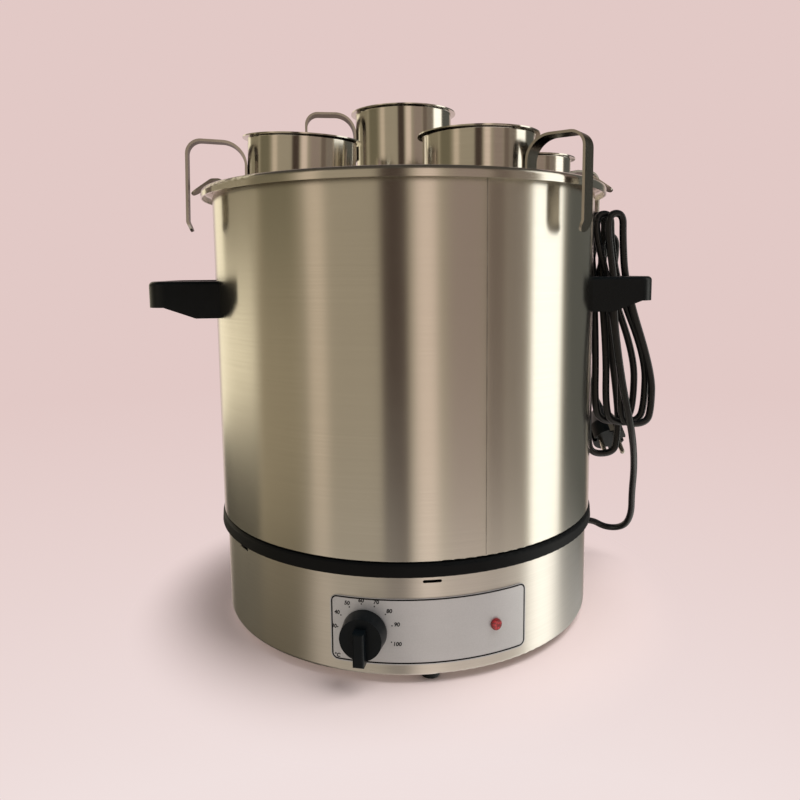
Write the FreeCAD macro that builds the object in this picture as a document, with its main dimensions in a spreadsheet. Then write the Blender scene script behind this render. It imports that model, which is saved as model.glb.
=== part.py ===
import FreeCAD, Part
import math
import os
import re

import Sketcher
from FreeCAD import Placement, Rotation, Vector

# Wax melter: a heating base, a tall steel water bath with a turned-over rim and two handles,
# a lift-out rack and four dipping cups that stand on it, and a mains lead hanked
# through the right handle. Millimetres, +Z up, the front faces -Y, and the origin
# is the centre of the ring of feet, on the surface that the melter stands on.

SIZES = {
    # base casing
    "base_radius": 177, "base_low": 6.8, "base_top": 89.6, "base_sheet": 1.2, "base_round": 2.5,
    "base_round_top": 1.5, "top_flange_radius": 156, "low_flange_radius": 154,
    "slot_length": 15, "slot_height": 2.4, "slot_level": 84.5, "slot_first": 0, "slot_count": 6,
    "plate_radius": 170, "plate_sheet": 1.2, "vent_radius": 4, "vent_circle": 60, "vent_count": 12,
    "foot_count": 4, "foot_circle": 163, "foot_low_radius": 7.5, "foot_top_radius": 9, "foot_height": 6.8,
    "foot_first": 0, "foot_recess_radius": 3.7, "foot_recess_depth": 3,
    "foot_screw_radius": 2, "foot_screw_head_radius": 3.5, "foot_screw_head": 2, "foot_screw_end": 15,
    "foot_nut_flats": 7, "foot_nut_height": 3.2,
    "plate_screw_count": 4, "plate_screw_first": 45, "plate_screw_radius": 1.9,
    "plate_screw_head_radius": 3.75, "plate_screw_head": 2.2, "plate_screw_end": 15,
    # rubber ring between the base and the bath
    "ring_radius": 181.2, "ring_low_radius": 182, "ring_inner": 171, "ring_lip_radius": 177.8,
    "ring_top": 100.6, "ring_round": 3, "ring_low_round": 0.8,
    # water bath
    "pot_radius": 180, "pot_sheet": 1.2, "pot_low": 101.4, "pot_low_round": 1, "pot_neck": 392.5,
    "rim_radius": 190, "rim_low": 390.3, "rim_top": 398.7, "rim_round": 2.9,
    # studs that draw the bath down on the base
    "stud_count": 3, "stud_first": 30, "stud_circle": 140, "stud_radius": 3, "stud_end": 2.5,
    "tie_nut_flats": 10, "tie_nut_height": 5,
    # heating
    "spreader_radius": 128, "spreader_sheet": 3, "element_circle": 105, "element_radius": 4.25,
    "element_sweep": 325, "element_first": 107.5, "element_tail": 26, "element_tail_radius": 3,
    "clamp_sheet": 1.5, "clamp_hub_radius": 30, "clamp_arm_width": 16, "clamp_arm_end": 150,
    "limiter_radius": 8.5, "limiter_height": 7, "limiter_offset": 55, "limiter_tab": 6,
    # thermostat, knob and panel
    "knob_angle": -17.3, "knob_level": 43.3, "shaft_radius": 3, "shaft_back": 158.5, "shaft_front": 187,
    "shaft_play": 0.05, "shaft_hole_radius": 6, "bracket_front": 168, "bracket_sheet": 1.5,
    "bracket_width": 104, "bracket_low": 16, "bracket_top": 74,
    "thermostat_width": 34, "thermostat_depth": 26, "thermostat_height": 44, "neck_radius": 4.5,
    "neck_length": 3.5, "thermostat_screw_radius": 1.95, "thermostat_screw_offset": 12,
    "thermostat_screw_head_radius": 3.4, "thermostat_screw_head": 2,
    "panel_sheet": 0.8, "panel_width": 159, "panel_low": 16.5, "panel_top": 71,
    "panel_corner": 6,
    "knob_gap": 0.4, "knob_radius": 18, "knob_face_radius": 16.8, "knob_depth": 14, "knob_bore_depth": 9,
    "grip_width": 9, "grip_above": 9, "grip_below": 18.6, "grip_rise": 8, "grip_behind": 5,
    "grip_round": 2,
    # pilot lamp
    "lamp_angle": 17, "lamp_level": 42.6, "lens_radius": 4.75, "lens_depth": 2.6, "lens_round": 1,
    "lamp_radius": 4.3, "lamp_back": 148, "lamp_hole_radius": 4.5, "clip_radius": 7.5, "clip_front": 175.4,
    "clip_sheet": 2,
    # supply
    "gland_angle": 14, "gland_level": 40, "gland_hole_radius": 8, "gland_radius": 7.8, "collar_radius": 12,
    "collar_depth": 5, "relief_length": 26, "relief_radius": 7.5, "cord_radius": 3.5,
    "gland_nut_flats": 22, "gland_nut_depth": 5, "gland_back": 164,
    "block_x": 96, "block_y": 50, "block_length": 48, "block_width": 20, "block_height": 17,
    "block_bore_radius": 2.5, "wire_radius": 1.3, "probe_radius": 3, "probe_length": 70,
    "probe_tube_radius": 0.9,
    # side handles
    "handle_reach": 233, "handle_top": 316.7, "handle_grip_low": 293.8, "handle_low": 284,
    "handle_half": 60, "handle_leg": 16, "handle_bar": 12, "handle_flat": 14.6, "handle_slope_end": 191,
    "handle_corner": 16, "handle_inner_corner": 8, "handle_round": 4,
    "tab_reach": 203, "tab_width": 9, "tab_sheet": 3, "tab_level": 298, "tab_play": 0.2, "tab_end": 190,
    "handle_screw_radius": 2.5, "handle_screw_head_radius": 4.5, "handle_screw_head": 3,
    # rack
    "rack_radius": 165, "rack_sheet": 1.5, "rack_level": 126, "rack_gap": 0.3, "rack_leg_radius": 5,
    "rack_leg_circle": 140, "rack_leg_first": 20, "rack_hole_radius": 5, "rack_hole_rings": 3,
    "rack_hole_step": 45, "strap_angle": -5, "strap_width": 18, "strap_sheet": 1.5, "strap_inside": 171.5,
    "strap_top": 412.5,
    "strap_end_x": 204, "strap_end_z": 399, "strap_foot": 26, "strap_bend": 6,
    # cups
    "cup_sheet": 1, "cup_round": 8, "cup_flare": 1, "cup_gap": 0.3, "cup_neck_drop": 1.5,
    "strip_width": 18, "strip_sheet": 2.2, "strip_hold": 46, "strip_outer_bend": 12,
    "strip_inner_bend": 20, "strip_hang": 69, "strip_toe": 9, "strip_toe_angle": 24,
    "strip_toe_bend": 5, "strip_gap": 0.05,
    # mains lead
    "hank_loops": 4, "hank_pitch": 8, "hank_front": -29.5, "hank_waist": 308, "hank_waist_x": 210,
    "hank_waist_half": 4.3, "hank_waist_step": -4.5, "hank_top_x": 199, "hank_top_sway": 4.5,
    "hank_top": 384, "hank_top_dip": 28, "hank_top_half": 7.2, "hank_low_x": 229, "hank_low_step": -8,
    "hank_low": 169, "hank_low_half": 16, "hank_low_swell": 6, "hank_long_drop": 36,
    "lead_straight": 15.4, "tail_straight": 17,
    # plug
    "plug_x": 223, "plug_y": 20, "plug_z": 141, "plug_tilt": 40, "plug_radius": 17.5,
    "plug_front": 17, "plug_body": 38, "plug_waist_radius": 9, "plug_boot": 22, "plug_boot_radius": 6.5,
    "pin_radius": 2.4, "pin_half": 9.5, "pin_length": 19, "plug_groove": 4, "plug_groove_width": 5.5,
    "plug_clip_width": 8, "plug_clip_sheet": 1,
}

# One line per cup: name, centre of the rim in X, Y and Z, radii of the body and the rim, direction
# of its handle, how far the handle's crown lies below the rim, how long the crown's level run is,
# and how far and which way the cup leans.
CUPS = (
    ("cup_front_left", -94.5, -46.5, 439.5, 47.6, 52, 185.3, 4.7, 17.5, 3.6, -52),
    ("cup_front_right", 55.2, -86.3, 437.6, 47.6, 52, -41, 6, 16.3, 0, 0),
    ("cup_rear_right", 122.5, 15.5, 433, 47.6, 52, 23.7, 6, 17.5, 0, 0),
    ("cup_middle", 6.8, 56.6, 485, 49.6, 54, 180.7, 0.5, 17.5, 0, 0),
)

# Corners of the thermostat's thin tube on its way up to the bulb, with the last one where the bulb
# begins, and the points inside the casing to which the three wires from the terminal block lead.
PROBE_POINTS = ((-42, -62, -3), (-42, -48, 0), (-42, -24, 0))
WIRE_ENDS = ((70, -20, 60), (20, -70, 60), (-20, 10, 70))

# Corners of the free stretch of the lead from the strain relief up to the hank, and of the one
# from the hank to the plug. Their end points follow from the sizes.
LEAD_POINTS = (
    (234, 50.9, 30.2), (248.7, 36, 35.5), (252.3, 24.5, 53.4), (246, 11.2, 84), (240.5, -4.5, 113),
    (230.5, -24, 142), (219.5, -40, 170), (211, -39.5, 206), (204.5, -39, 244), (200, -38.5, 278),
)
TAIL_POINTS = (
    (196.3, 2.5, 290), (197.5, 8, 264), (201, 24, 242), (206, 44, 229), (213, 66.5, 225), (218, 77.9, 217),
    (221.5, 82.7, 204),
)

PART_DIR = "parts"
FULL_TURN = 360.0
doc = FreeCAD.newDocument("WaxMelter")
sheet = doc.addObject("Spreadsheet::Sheet", "Sizes")
nodes = []


# Sheet and expressions

def fill_sheet():
    """Write every size into the sheet with its own alias."""
    for row, (alias, value) in enumerate(SIZES.items(), start=1):
        sheet.set(f"A{row}", alias.replace("_", " "))
        sheet.set(f"B{row}", str(value))
        sheet.setAlias(f"B{row}", alias)
    doc.recompute()


def expr(text):
    """Turn plain alias names in an expression into references to the sheet."""
    words = lambda found: f"Sizes.{found.group(0)}" if found.group(0) in SIZES else found.group(0)
    return re.sub(r"[a-z_]{3,}", words, str(text))


def value(text):
    """The number that an expression of aliases gives."""
    result = sheet.evalExpression(expr(text))
    return float(getattr(result, "Value", result))


def bind(item, **sizes):
    """Bind properties of a document object to expressions of the sheet."""
    for name, text in sizes.items():
        item.setExpression(name, expr(text))
    return item


def place(item, x="0", y="0", z="0", axis=(0, 0, 1), angle="0"):
    """Place an object, turned by an angle about an axis, at expressions for X, Y and Z."""
    item.Placement = Placement(Vector(0, 0, 0), Rotation(Vector(*axis), 1.0))
    for name, text in (("x", x), ("y", y), ("z", z)):
        item.setExpression(f"Placement.Base.{name}", expr(text))
    item.setExpression("Placement.Rotation.Angle", expr(angle))
    return item


def keep(item, label):
    """Name an object as a sub-part that is written to a file."""
    item.Label = label
    nodes.append(item)
    return item


# Solids

def cylinder(name, radius, height):
    return bind(doc.addObject("Part::Cylinder", name), Radius=radius, Height=height)


def cone(name, low, top, height):
    return bind(doc.addObject("Part::Cone", name), Radius1=low, Radius2=top, Height=height)


def block(name, length, width, height):
    return bind(doc.addObject("Part::Box", name), Length=length, Width=width, Height=height)


def hexagon(name, flats, height):
    item = doc.addObject("Part::Prism", name)
    item.Polygon = 6
    return bind(item, Circumradius=f"({flats}) / sqrt(3)", Height=height)


def cut(name, base, tools):
    item = doc.addObject("Part::Cut", name)
    item.Base = base
    item.Tool = tools[0] if len(tools) == 1 else join(name + "_tools", tools)
    return item


def join(name, shapes):
    item = doc.addObject("Part::MultiFuse", name)
    item.Shapes = shapes
    return item


def common(name, shapes):
    item = doc.addObject("Part::MultiCommon", name)
    item.Shapes = shapes
    return item


def group(name, items):
    """Identical pieces that share one node, as separate solids."""
    item = doc.addObject("Part::Compound", name)
    item.Links = items
    return item


def ring_of(count, first, make):
    """Make an item at each of count even angles, given as expressions, from the first one on."""
    steps = int(value(count))
    return [make(index, f"({first}) + {FULL_TURN * index / steps}") for index in range(steps)]


def radial(item, angle, start, level):
    """Point an upright solid outwards from the axis at an angle, its base at a radius and height."""
    turn = Rotation(Vector(0, 0, 1), value(angle)).multiply(Rotation(Vector(1, 0, 0), 90))
    item.Placement = Placement(Vector(0, 0, 0), turn)
    item.setExpression("Placement.Base.x", expr(f"({start}) * sin({angle})"))
    item.setExpression("Placement.Base.y", expr(f"-({start}) * cos({angle})"))
    item.setExpression("Placement.Base.z", expr(level))
    return item


# Sketches

def plane_of(body, role):
    return next(item for item in body.Origin.OriginFeatures if item.Role == role)


def outline(sketch, corners):
    """A closed outline whose corners are held by dimensions from the origin."""
    points = [Vector(value(x), value(y), 0) for x, y in corners]
    count = len(points)
    for index in range(count):
        sketch.addGeometry(Part.LineSegment(points[index], points[(index + 1) % count]), False)
    for index in range(count):
        sketch.addConstraint(Sketcher.Constraint("Coincident", index, 2, (index + 1) % count, 1))
    for index, (corner, point) in enumerate(zip(corners, points)):
        for kind, text, number, axis in (("DistanceX", corner[0], point.x, -2),
                                         ("DistanceY", corner[1], point.y, -1)):
            if abs(number) < 1e-9:
                sketch.addConstraint(Sketcher.Constraint("PointOnObject", index, 1, axis))
                continue
            where = sketch.addConstraint(Sketcher.Constraint(kind, -1, 1, index, 1, number))
            sketch.setExpression(f"Constraints[{where}]", expr(text))


def sketch_on(body, role, corners, name):
    sketch = body.newObject("Sketcher::SketchObject", name)
    sketch.AttachmentSupport = (plane_of(body, role), [""])
    sketch.MapMode = "FlatFace"
    outline(sketch, corners)
    doc.recompute()
    return sketch


def spun(name, corners, rounds=()):
    """A turned piece: an outline of radius and height spun about Z, with rounded circular edges."""
    body = doc.addObject("PartDesign::Body", name)
    sketch = sketch_on(body, "XZ_Plane", corners, name + "_outline")
    turn = body.newObject("PartDesign::Revolution", name + "_turn")
    turn.Profile = sketch
    turn.ReferenceAxis = (sketch, ["V_Axis"])
    turn.Angle = FULL_TURN
    sketch.Visibility = False
    doc.recompute()
    for number, (radius, level, size) in enumerate(rounds):
        round_circles(body, f"{name}_round_{number}", radius, level, size)
    return body


def round_circles(body, name, radius, level, size):
    """Round the circular edges of a given radius and height."""
    last = body.Tip
    found = []
    for number, edge in enumerate(last.Shape.Edges, start=1):
        curve = edge.Curve
        if not isinstance(curve, Part.Circle):
            continue
        if abs(curve.Radius - value(radius)) < 0.01 and abs(curve.Center.z - value(level)) < 0.01:
            found.append(f"Edge{number}")
    fillet = body.newObject("PartDesign::Fillet", name)
    fillet.Base = (last, found)
    fillet.setExpression("Radius", expr(size))
    doc.recompute()


def padded(name, role, corners, start, depth):
    """An outline on an origin plane of its own body, padded from a start along the plane's normal."""
    body = doc.addObject("PartDesign::Body", name)
    sketch = sketch_on(body, role, corners, name + "_outline")
    sketch.setExpression("AttachmentOffset.Base.z", expr(start))
    pad = body.newObject("PartDesign::Pad", name + "_pad")
    pad.Profile = sketch
    pad.setExpression("Length", expr(depth))
    doc.recompute()
    return body


def round_edges(name, base, size, chosen):
    """Round the edges of an object that a test picks."""
    doc.recompute()
    item = doc.addObject("Part::Fillet", name)
    item.Base = base
    radius = value(size)
    item.Edges = [(number, radius, radius)
                  for number, edge in enumerate(base.Shape.Edges, start=1) if chosen(edge)]
    doc.recompute()
    return item


def is_upright(edge):
    start, end = edge.Vertexes[0].Point, edge.Vertexes[-1].Point
    return abs(start.x - end.x) < 1e-6 and abs(start.y - end.y) < 1e-6 and abs(start.z - end.z) > 1e-6


# Strips and tubes along routes

def rounded_route(points, radii):
    """Straight runs joined by tangent arcs of the given radii at the inner points."""
    edges = []
    here = points[0]
    for before, corner, after, radius in zip(points, points[1:], points[2:], radii):
        back, ahead = (before - corner).normalize(), (after - corner).normalize()
        turn = math.pi - back.getAngle(ahead)
        reach = radius * math.tan(turn / 2)
        start, end = corner + back * reach, corner + ahead * reach
        middle = (back + ahead).normalize()
        inside = corner + middle * (radius / math.cos(turn / 2) - radius)
        if (start - here).Length > 1e-6:
            edges.append(Part.makeLine(here, start))
        edges.append(Part.Arc(start, inside, end).toShape())
        here = end
    edges.append(Part.makeLine(here, points[-1]))
    return Part.Wire(edges)


def lead_radii(points, share=0.45):
    """The largest arc at each inner point of a cord's route that its two runs allow."""
    radii = []
    for before, corner, after in zip(points, points[1:], points[2:]):
        turn = (corner - before).getAngle(after - corner)
        shorter = min((corner - before).Length, (after - corner).Length)
        radii.append(share * shorter / math.tan(turn / 2))
    return radii


def tube(route, radius):
    """A solid tube along a wire, with its section square to the wire's start."""
    start = route.Edges[0].valueAt(route.Edges[0].FirstParameter)
    ahead = route.Edges[0].tangentAt(route.Edges[0].FirstParameter)
    section = Part.Wire(Part.makeCircle(radius, start, ahead))
    return route.makePipeShell([section], True, False)


def feature(name, shape, position=Vector(0, 0, 0), rotation=Rotation()):
    """A document object whose shape is made in code, placed after its shape is set."""
    item = doc.addObject("Part::Feature", name)
    item.Shape = shape
    item.Placement = Placement(position, rotation)
    return item


def compare_tube(name, shape, route, radius):
    """Print a tube's volume beside its section times its length."""
    expected = math.pi * radius ** 2 * route.Length
    print(f"{name}: length {route.Length:.1f}, volume {shape.Volume:.0f}, section by length {expected:.0f}")


# Base casing

def make_base_shell():
    """The round casing: one sheet with a flange in at its top and its bottom."""
    body = spun("base_casing", (
        ("base_radius", "base_low"), ("base_radius", "base_top"), ("top_flange_radius", "base_top"),
        ("top_flange_radius", "base_top - base_sheet"),
        ("base_radius - base_sheet", "base_top - base_sheet"),
        ("base_radius - base_sheet", "base_low + base_sheet"),
        ("low_flange_radius", "base_low + base_sheet"), ("low_flange_radius", "base_low"),
    ), (
        ("base_radius", "base_low", "base_round"),
        ("base_radius - base_sheet", "base_low + base_sheet", "base_round - base_sheet"),
        ("base_radius", "base_top", "base_round_top"),
    ))
    tools = ring_of("slot_count", "slot_first", vent_slot)
    tools.append(through_wall("shaft_way", "shaft_hole_radius", "knob_angle", "knob_level"))
    tools.append(through_wall("lamp_way", "lamp_hole_radius", "lamp_angle", "lamp_level"))
    tools.append(through_wall("gland_way", "gland_hole_radius", "90 + gland_angle", "gland_level"))
    tools += flange_holes("shell")
    keep(cut("base_shell", body, tools), "base_shell")


def vent_slot(index, angle):
    """A level slot with round ends through the casing wall."""
    depth = "6 * base_sheet"
    middle = block(f"slot_middle_{index}", "slot_length - slot_height", "slot_height", depth)
    place(middle, "(slot_height - slot_length) / 2", "-slot_height / 2")
    ends = []
    for side in (-1, 1):
        end = cylinder(f"slot_end_{index}_{side + 1}", "slot_height / 2", depth)
        ends.append(place(end, f"{side} * (slot_length - slot_height) / 2"))
    slot = join(f"slot_{index}", [middle] + ends)
    return radial(slot, angle, "base_radius - 3 * base_sheet", "slot_level")


def through_wall(name, radius, angle, level):
    """A round tool that goes square through the casing wall."""
    return radial(cylinder(name, radius, "20"), angle, "base_radius - 10", level)


def flange_holes(name):
    """Upright tools for the feet's screws and the bottom plate's screws."""
    low, height = "base_low - 1", "plate_sheet + base_sheet + 2"

    def foot_hole(index, angle):
        tool = cylinder(f"{name}_foot_hole_{index}", "foot_screw_radius + 0.1", height)
        return place(tool, f"foot_circle * sin({angle})", f"-foot_circle * cos({angle})", low)

    def plate_hole(index, angle):
        tool = cylinder(f"{name}_plate_hole_{index}", "plate_screw_radius + 0.1", height)
        return place(tool, f"foot_circle * sin({angle})", f"-foot_circle * cos({angle})", low)

    feet = ring_of("foot_count", "foot_first", foot_hole)
    return feet + ring_of("plate_screw_count", "plate_screw_first", plate_hole)


def make_base_plate():
    """The bottom plate inside the casing's lower flange, with vents and holes for the tie studs."""
    plate = place(cylinder("plate_disc", "plate_radius", "plate_sheet"), z="base_low + base_sheet")

    def vent(index, angle):
        tool = cylinder(f"vent_{index}", "vent_radius", "10")
        return place(tool, f"vent_circle * sin({angle})", f"-vent_circle * cos({angle})", "base_low - 2")

    def stud_hole(index, angle):
        tool = cylinder(f"stud_way_{index}", "stud_radius + 0.3", "10")
        return place(tool, f"stud_circle * sin({angle})", f"-stud_circle * cos({angle})", "base_low - 2")

    tools = ring_of("vent_count", "0", vent) + ring_of("stud_count", "stud_first", stud_hole)
    keep(cut("base_plate", plate, tools + flange_holes("plate")), "base_plate")


def make_feet():
    """Four rubber feet, each held by a screw from below and a nut above the bottom plate."""
    def at(item, angle, level):
        return place(item, f"foot_circle * sin({angle})", f"-foot_circle * cos({angle})", level)

    def foot(index, angle):
        rubber = cone(f"foot_rubber_{index}", "foot_low_radius", "foot_top_radius", "foot_height")
        recess = cylinder(f"foot_recess_{index}", "foot_recess_radius", "foot_recess_depth")
        way = cylinder(f"foot_way_{index}", "foot_screw_radius + 0.1", "foot_height")
        return at(cut(f"foot_{index}", rubber, [recess, way]), angle, "0")

    def screw(index, angle):
        head = cylinder(f"foot_head_{index}", "foot_screw_head_radius", "foot_screw_head")
        place(head, z="foot_recess_depth - foot_screw_head")
        shank = cylinder(f"foot_shank_{index}", "foot_screw_radius", "foot_screw_end - foot_recess_depth")
        place(shank, z="foot_recess_depth")
        return at(join(f"foot_screw_{index}", [head, shank]), angle, "0")

    def nut(index, angle):
        outside = hexagon(f"foot_nut_body_{index}", "foot_nut_flats", "foot_nut_height")
        bore = cylinder(f"foot_nut_bore_{index}", "foot_screw_radius + 0.02", "foot_nut_height")
        return at(cut(f"foot_nut_{index}", outside, [bore]), angle, "base_low + base_sheet + plate_sheet")

    for label, make in (("feet", foot), ("foot_screws", screw), ("foot_nuts", nut)):
        keep(group(label, ring_of("foot_count", "foot_first", make)), label)


def make_plate_screws():
    """Sheet metal screws that hold the bottom plate to the casing's flange."""
    def screw(index, angle):
        head = cylinder(f"plate_head_{index}", "plate_screw_head_radius", "plate_screw_head")
        place(head, z="base_low - plate_screw_head")
        shank = cylinder(f"plate_shank_{index}", "plate_screw_radius", "plate_screw_end - base_low")
        place(shank, z="base_low")
        both = join(f"plate_screw_{index}", [head, shank])
        return place(both, f"foot_circle * sin({angle})", f"-foot_circle * cos({angle})")

    keep(group("plate_screws", ring_of("plate_screw_count", "plate_screw_first", screw)), "plate_screws")


# Bath, ring and studs

def make_seal_ring():
    """The black ring: it stands on the casing, reaches out over it, and its inner lip carries the bath."""
    body = spun("seal_ring", (
        ("ring_inner", "base_top"), ("ring_low_radius", "base_top"), ("ring_radius", "ring_top"),
        ("ring_lip_radius", "ring_top"), ("ring_lip_radius", "pot_low"), ("ring_inner", "pot_low"),
    ), (
        ("ring_low_radius", "base_top", "ring_low_round"), ("ring_radius", "ring_top", "ring_round"),
    ))
    keep(body, "seal_ring")


def make_pot():
    """The water bath in three welded pieces: its floor, its rolled wall and its turned-over rim."""
    inside, fold, hang = "pot_radius - pot_sheet", "rim_top - pot_sheet", "rim_radius - pot_sheet"
    keep(place(cylinder("pot_floor", inside, "pot_sheet"), z="pot_low"), "pot_floor")
    wall = spun("pot_wall", (
        (inside, "pot_low"), ("pot_radius", "pot_low"), ("pot_radius", "pot_neck"), (inside, "pot_neck"),
    ), (
        ("pot_radius", "pot_low", "pot_low_round"),
    ))
    keep(wall, "pot_wall")
    rim = spun("pot_rim", (
        (inside, "pot_neck"), ("pot_radius", "pot_neck"), ("pot_radius", fold), (hang, fold),
        (hang, "rim_low"), ("rim_radius", "rim_low"), ("rim_radius", "rim_top"), (inside, "rim_top"),
    ), (
        ("pot_radius", fold, "rim_round"), (hang, fold, "rim_round"),
        (inside, "rim_top", "rim_round + pot_sheet"), ("rim_radius", "rim_top", "rim_round + pot_sheet"),
    ))
    keep(rim, "pot_rim")


def make_tie_studs():
    """Studs welded under the bath's floor, with nuts at the element clamp and below the plate."""
    def at(item, angle, level):
        return place(item, f"stud_circle * sin({angle})", f"-stud_circle * cos({angle})", level)

    def stud(index, angle):
        return at(cylinder(f"tie_stud_{index}", "stud_radius", "pot_low - stud_end"), angle, "stud_end")

    def nuts(index, angle):
        low = "base_low + base_sheet - tie_nut_height"
        high = "pot_low - spreader_sheet - 2 * element_radius - clamp_sheet - tie_nut_height"
        pair = []
        for end, level in (("low", low), ("high", high)):
            outside = hexagon(f"tie_nut_{end}_{index}", "tie_nut_flats", "tie_nut_height")
            bore = cylinder(f"tie_bore_{end}_{index}", "stud_radius + 0.02", "tie_nut_height")
            pair.append(at(cut(f"tie_nut_cut_{end}_{index}", outside, [bore]), angle, level))
        return group(f"tie_nut_pair_{index}", pair)

    keep(group("tie_studs", ring_of("stud_count", "stud_first", stud)), "tie_studs")
    keep(group("tie_nuts", ring_of("stud_count", "stud_first", nuts)), "tie_nuts")


# Heating

def make_heating():
    """Spreader disc, ring element with two tails, a three-armed clamp and the overheat limiter."""
    spreader = cylinder("heat_spreader", "spreader_radius", "spreader_sheet")
    keep(place(spreader, z="pot_low - spreader_sheet"), "heat_spreader")

    level = "pot_low - spreader_sheet - element_radius"
    ring = bind(doc.addObject("Part::Torus", "element_ring"), Radius1="element_circle",
                Radius2="element_radius", Angle3="element_sweep")
    pieces = [ring]
    for number, angle in enumerate(("0", "element_sweep")):
        ball = bind(doc.addObject("Part::Sphere", f"element_ball_{number}"), Radius="element_radius")
        tail = cylinder(f"element_tail_{number}", "element_tail_radius", "element_tail")
        x, y = f"element_circle * cos({angle})", f"element_circle * sin({angle})"
        pieces += [place(ball, x, y), place(tail, x, y, "-element_tail")]
    element = place(join("heating_element", pieces), z=level, angle="element_first - 90")
    keep(element, "heating_element")

    hub = cylinder("clamp_hub", "clamp_hub_radius", "clamp_sheet")
    arms, holes = [], []
    for index, angle in enumerate(ring_of("stud_count", "stud_first", lambda index, angle: angle)):
        arm = block(f"clamp_arm_{index}", "clamp_arm_end", "clamp_arm_width", "clamp_sheet")
        aside = "-clamp_arm_width / 2"
        arms.append(place(arm, f"{aside} * cos({angle})", f"{aside} * sin({angle})", angle=f"({angle}) - 90"))
        hole = cylinder(f"clamp_hole_{index}", "stud_radius + 0.3", "clamp_sheet")
        holes.append(place(hole, f"stud_circle * sin({angle})", f"-stud_circle * cos({angle})"))
    clamp = cut("element_clamp", join("clamp_star", [hub] + arms), holes)
    keep(place(clamp, z="pot_low - spreader_sheet - 2 * element_radius - clamp_sheet"), "element_clamp")

    can = cylinder("limiter_can", "limiter_radius", "limiter_height")
    tabs = []
    for side in (-1, 1):
        tab = block(f"limiter_tab_{side + 1}", "limiter_tab / 8", "limiter_tab", "limiter_tab * 1.5")
        tabs.append(place(tab, f"{side} * limiter_radius / 2", "-limiter_tab / 2", "-limiter_tab"))
    limiter = join("overheat_limiter", [can] + tabs)
    level = "pot_low - spreader_sheet - limiter_height"
    keep(place(limiter, "0", "limiter_offset", level), "overheat_limiter")


# Thermostat, knob and panel

def make_thermostat():
    """A bracket across the casing's inside, and the thermostat with its shaft and screws behind it."""
    flat = block("bracket_flat", "bracket_width", "bracket_sheet", "bracket_top - bracket_low")
    place(flat, "-bracket_width / 2", "-bracket_front", "bracket_low")
    inside = place(cylinder("bracket_limit", "base_radius - base_sheet - 0.05", "100"))
    holes = [forward(cylinder("bracket_way", "neck_radius + 0.2", "10"), "bracket_front + 3")]
    for side in (-1, 1):
        hole = cylinder(f"bracket_screw_way_{side + 1}", "thermostat_screw_radius + 0.1", "10")
        holes.append(forward(hole, "bracket_front + 3", f"{side} * thermostat_screw_offset"))
    bracket = cut("thermostat_bracket", common("bracket_plate", [flat, inside]), holes)
    keep(place(bracket, angle="knob_angle"), "thermostat_bracket")

    back = "bracket_front - bracket_sheet"
    case = block("thermostat_case", "thermostat_width", "thermostat_depth", "thermostat_height")
    place(case, "-thermostat_width / 2", f"-({back})", "knob_level - thermostat_height / 2")
    neck = forward(cylinder("thermostat_neck", "neck_radius", "neck_length"), f"{back} + neck_length")
    bore = forward(cylinder("thermostat_bore", "shaft_radius + shaft_play", "30"), "shaft_back - 0.3 + 30")
    ways = [bore]
    for side in (-1, 1):
        way = cylinder(f"thermostat_screw_way_{side + 1}", "thermostat_screw_radius", "8")
        ways.append(forward(way, f"{back}", f"{side} * thermostat_screw_offset"))
    body = cut("thermostat_body", join("thermostat_solid", [case, neck]), ways)
    keep(place(body, angle="knob_angle"), "thermostat_body")

    shaft = forward(cylinder("shaft_rod", "shaft_radius", "shaft_front - shaft_back"), "shaft_front")
    keep(place(group("thermostat_shaft", [shaft]), angle="knob_angle"), "thermostat_shaft")

    screws = []
    for side in (-1, 1):
        offset = f"{side} * thermostat_screw_offset"
        head = cylinder(f"thermostat_head_{side + 1}", "thermostat_screw_head_radius",
                        "thermostat_screw_head")
        shank = cylinder(f"thermostat_shank_{side + 1}", "thermostat_screw_radius", "bracket_sheet + 6")
        forward(head, "bracket_front + thermostat_screw_head", offset)
        forward(shank, "bracket_front", offset)
        screws.append(join(f"thermostat_screw_{side + 1}", [head, shank]))
    keep(place(group("thermostat_screws", screws), angle="knob_angle"), "thermostat_screws")


def forward(item, front, offset="0"):
    """Lay an upright solid along Y, square to the front, its top at a distance in front of the axis."""
    return place(item, offset, f"-({front})", "knob_level", axis=(1, 0, 0), angle="-90")


def make_probe():
    """The thermostat's bulb under the spreader and the thin tube that leads to it."""
    turn = math.radians(value("knob_angle"))
    out = Vector(math.sin(turn), -math.cos(turn), 0)
    back = value("bracket_front - bracket_sheet - thermostat_depth")
    level = value("pot_low - spreader_sheet - probe_radius")
    start = out * back + Vector(0, 0, value("knob_level + 12"))
    points = [start, start - out * 22, start - out * 40 + Vector(0, 0, 20)]
    points += [Vector(x, y, level + z) for x, y, z in PROBE_POINTS]
    line = tube(rounded_route(points, [8, 8, 8, 5]), value("probe_tube_radius"))
    bulb = Part.makeCylinder(value("probe_radius"), value("probe_length"), points[-1], Vector(0, 1, 0))
    keep(feature("thermostat_probe", line.fuse(bulb)), "thermostat_probe")


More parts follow.
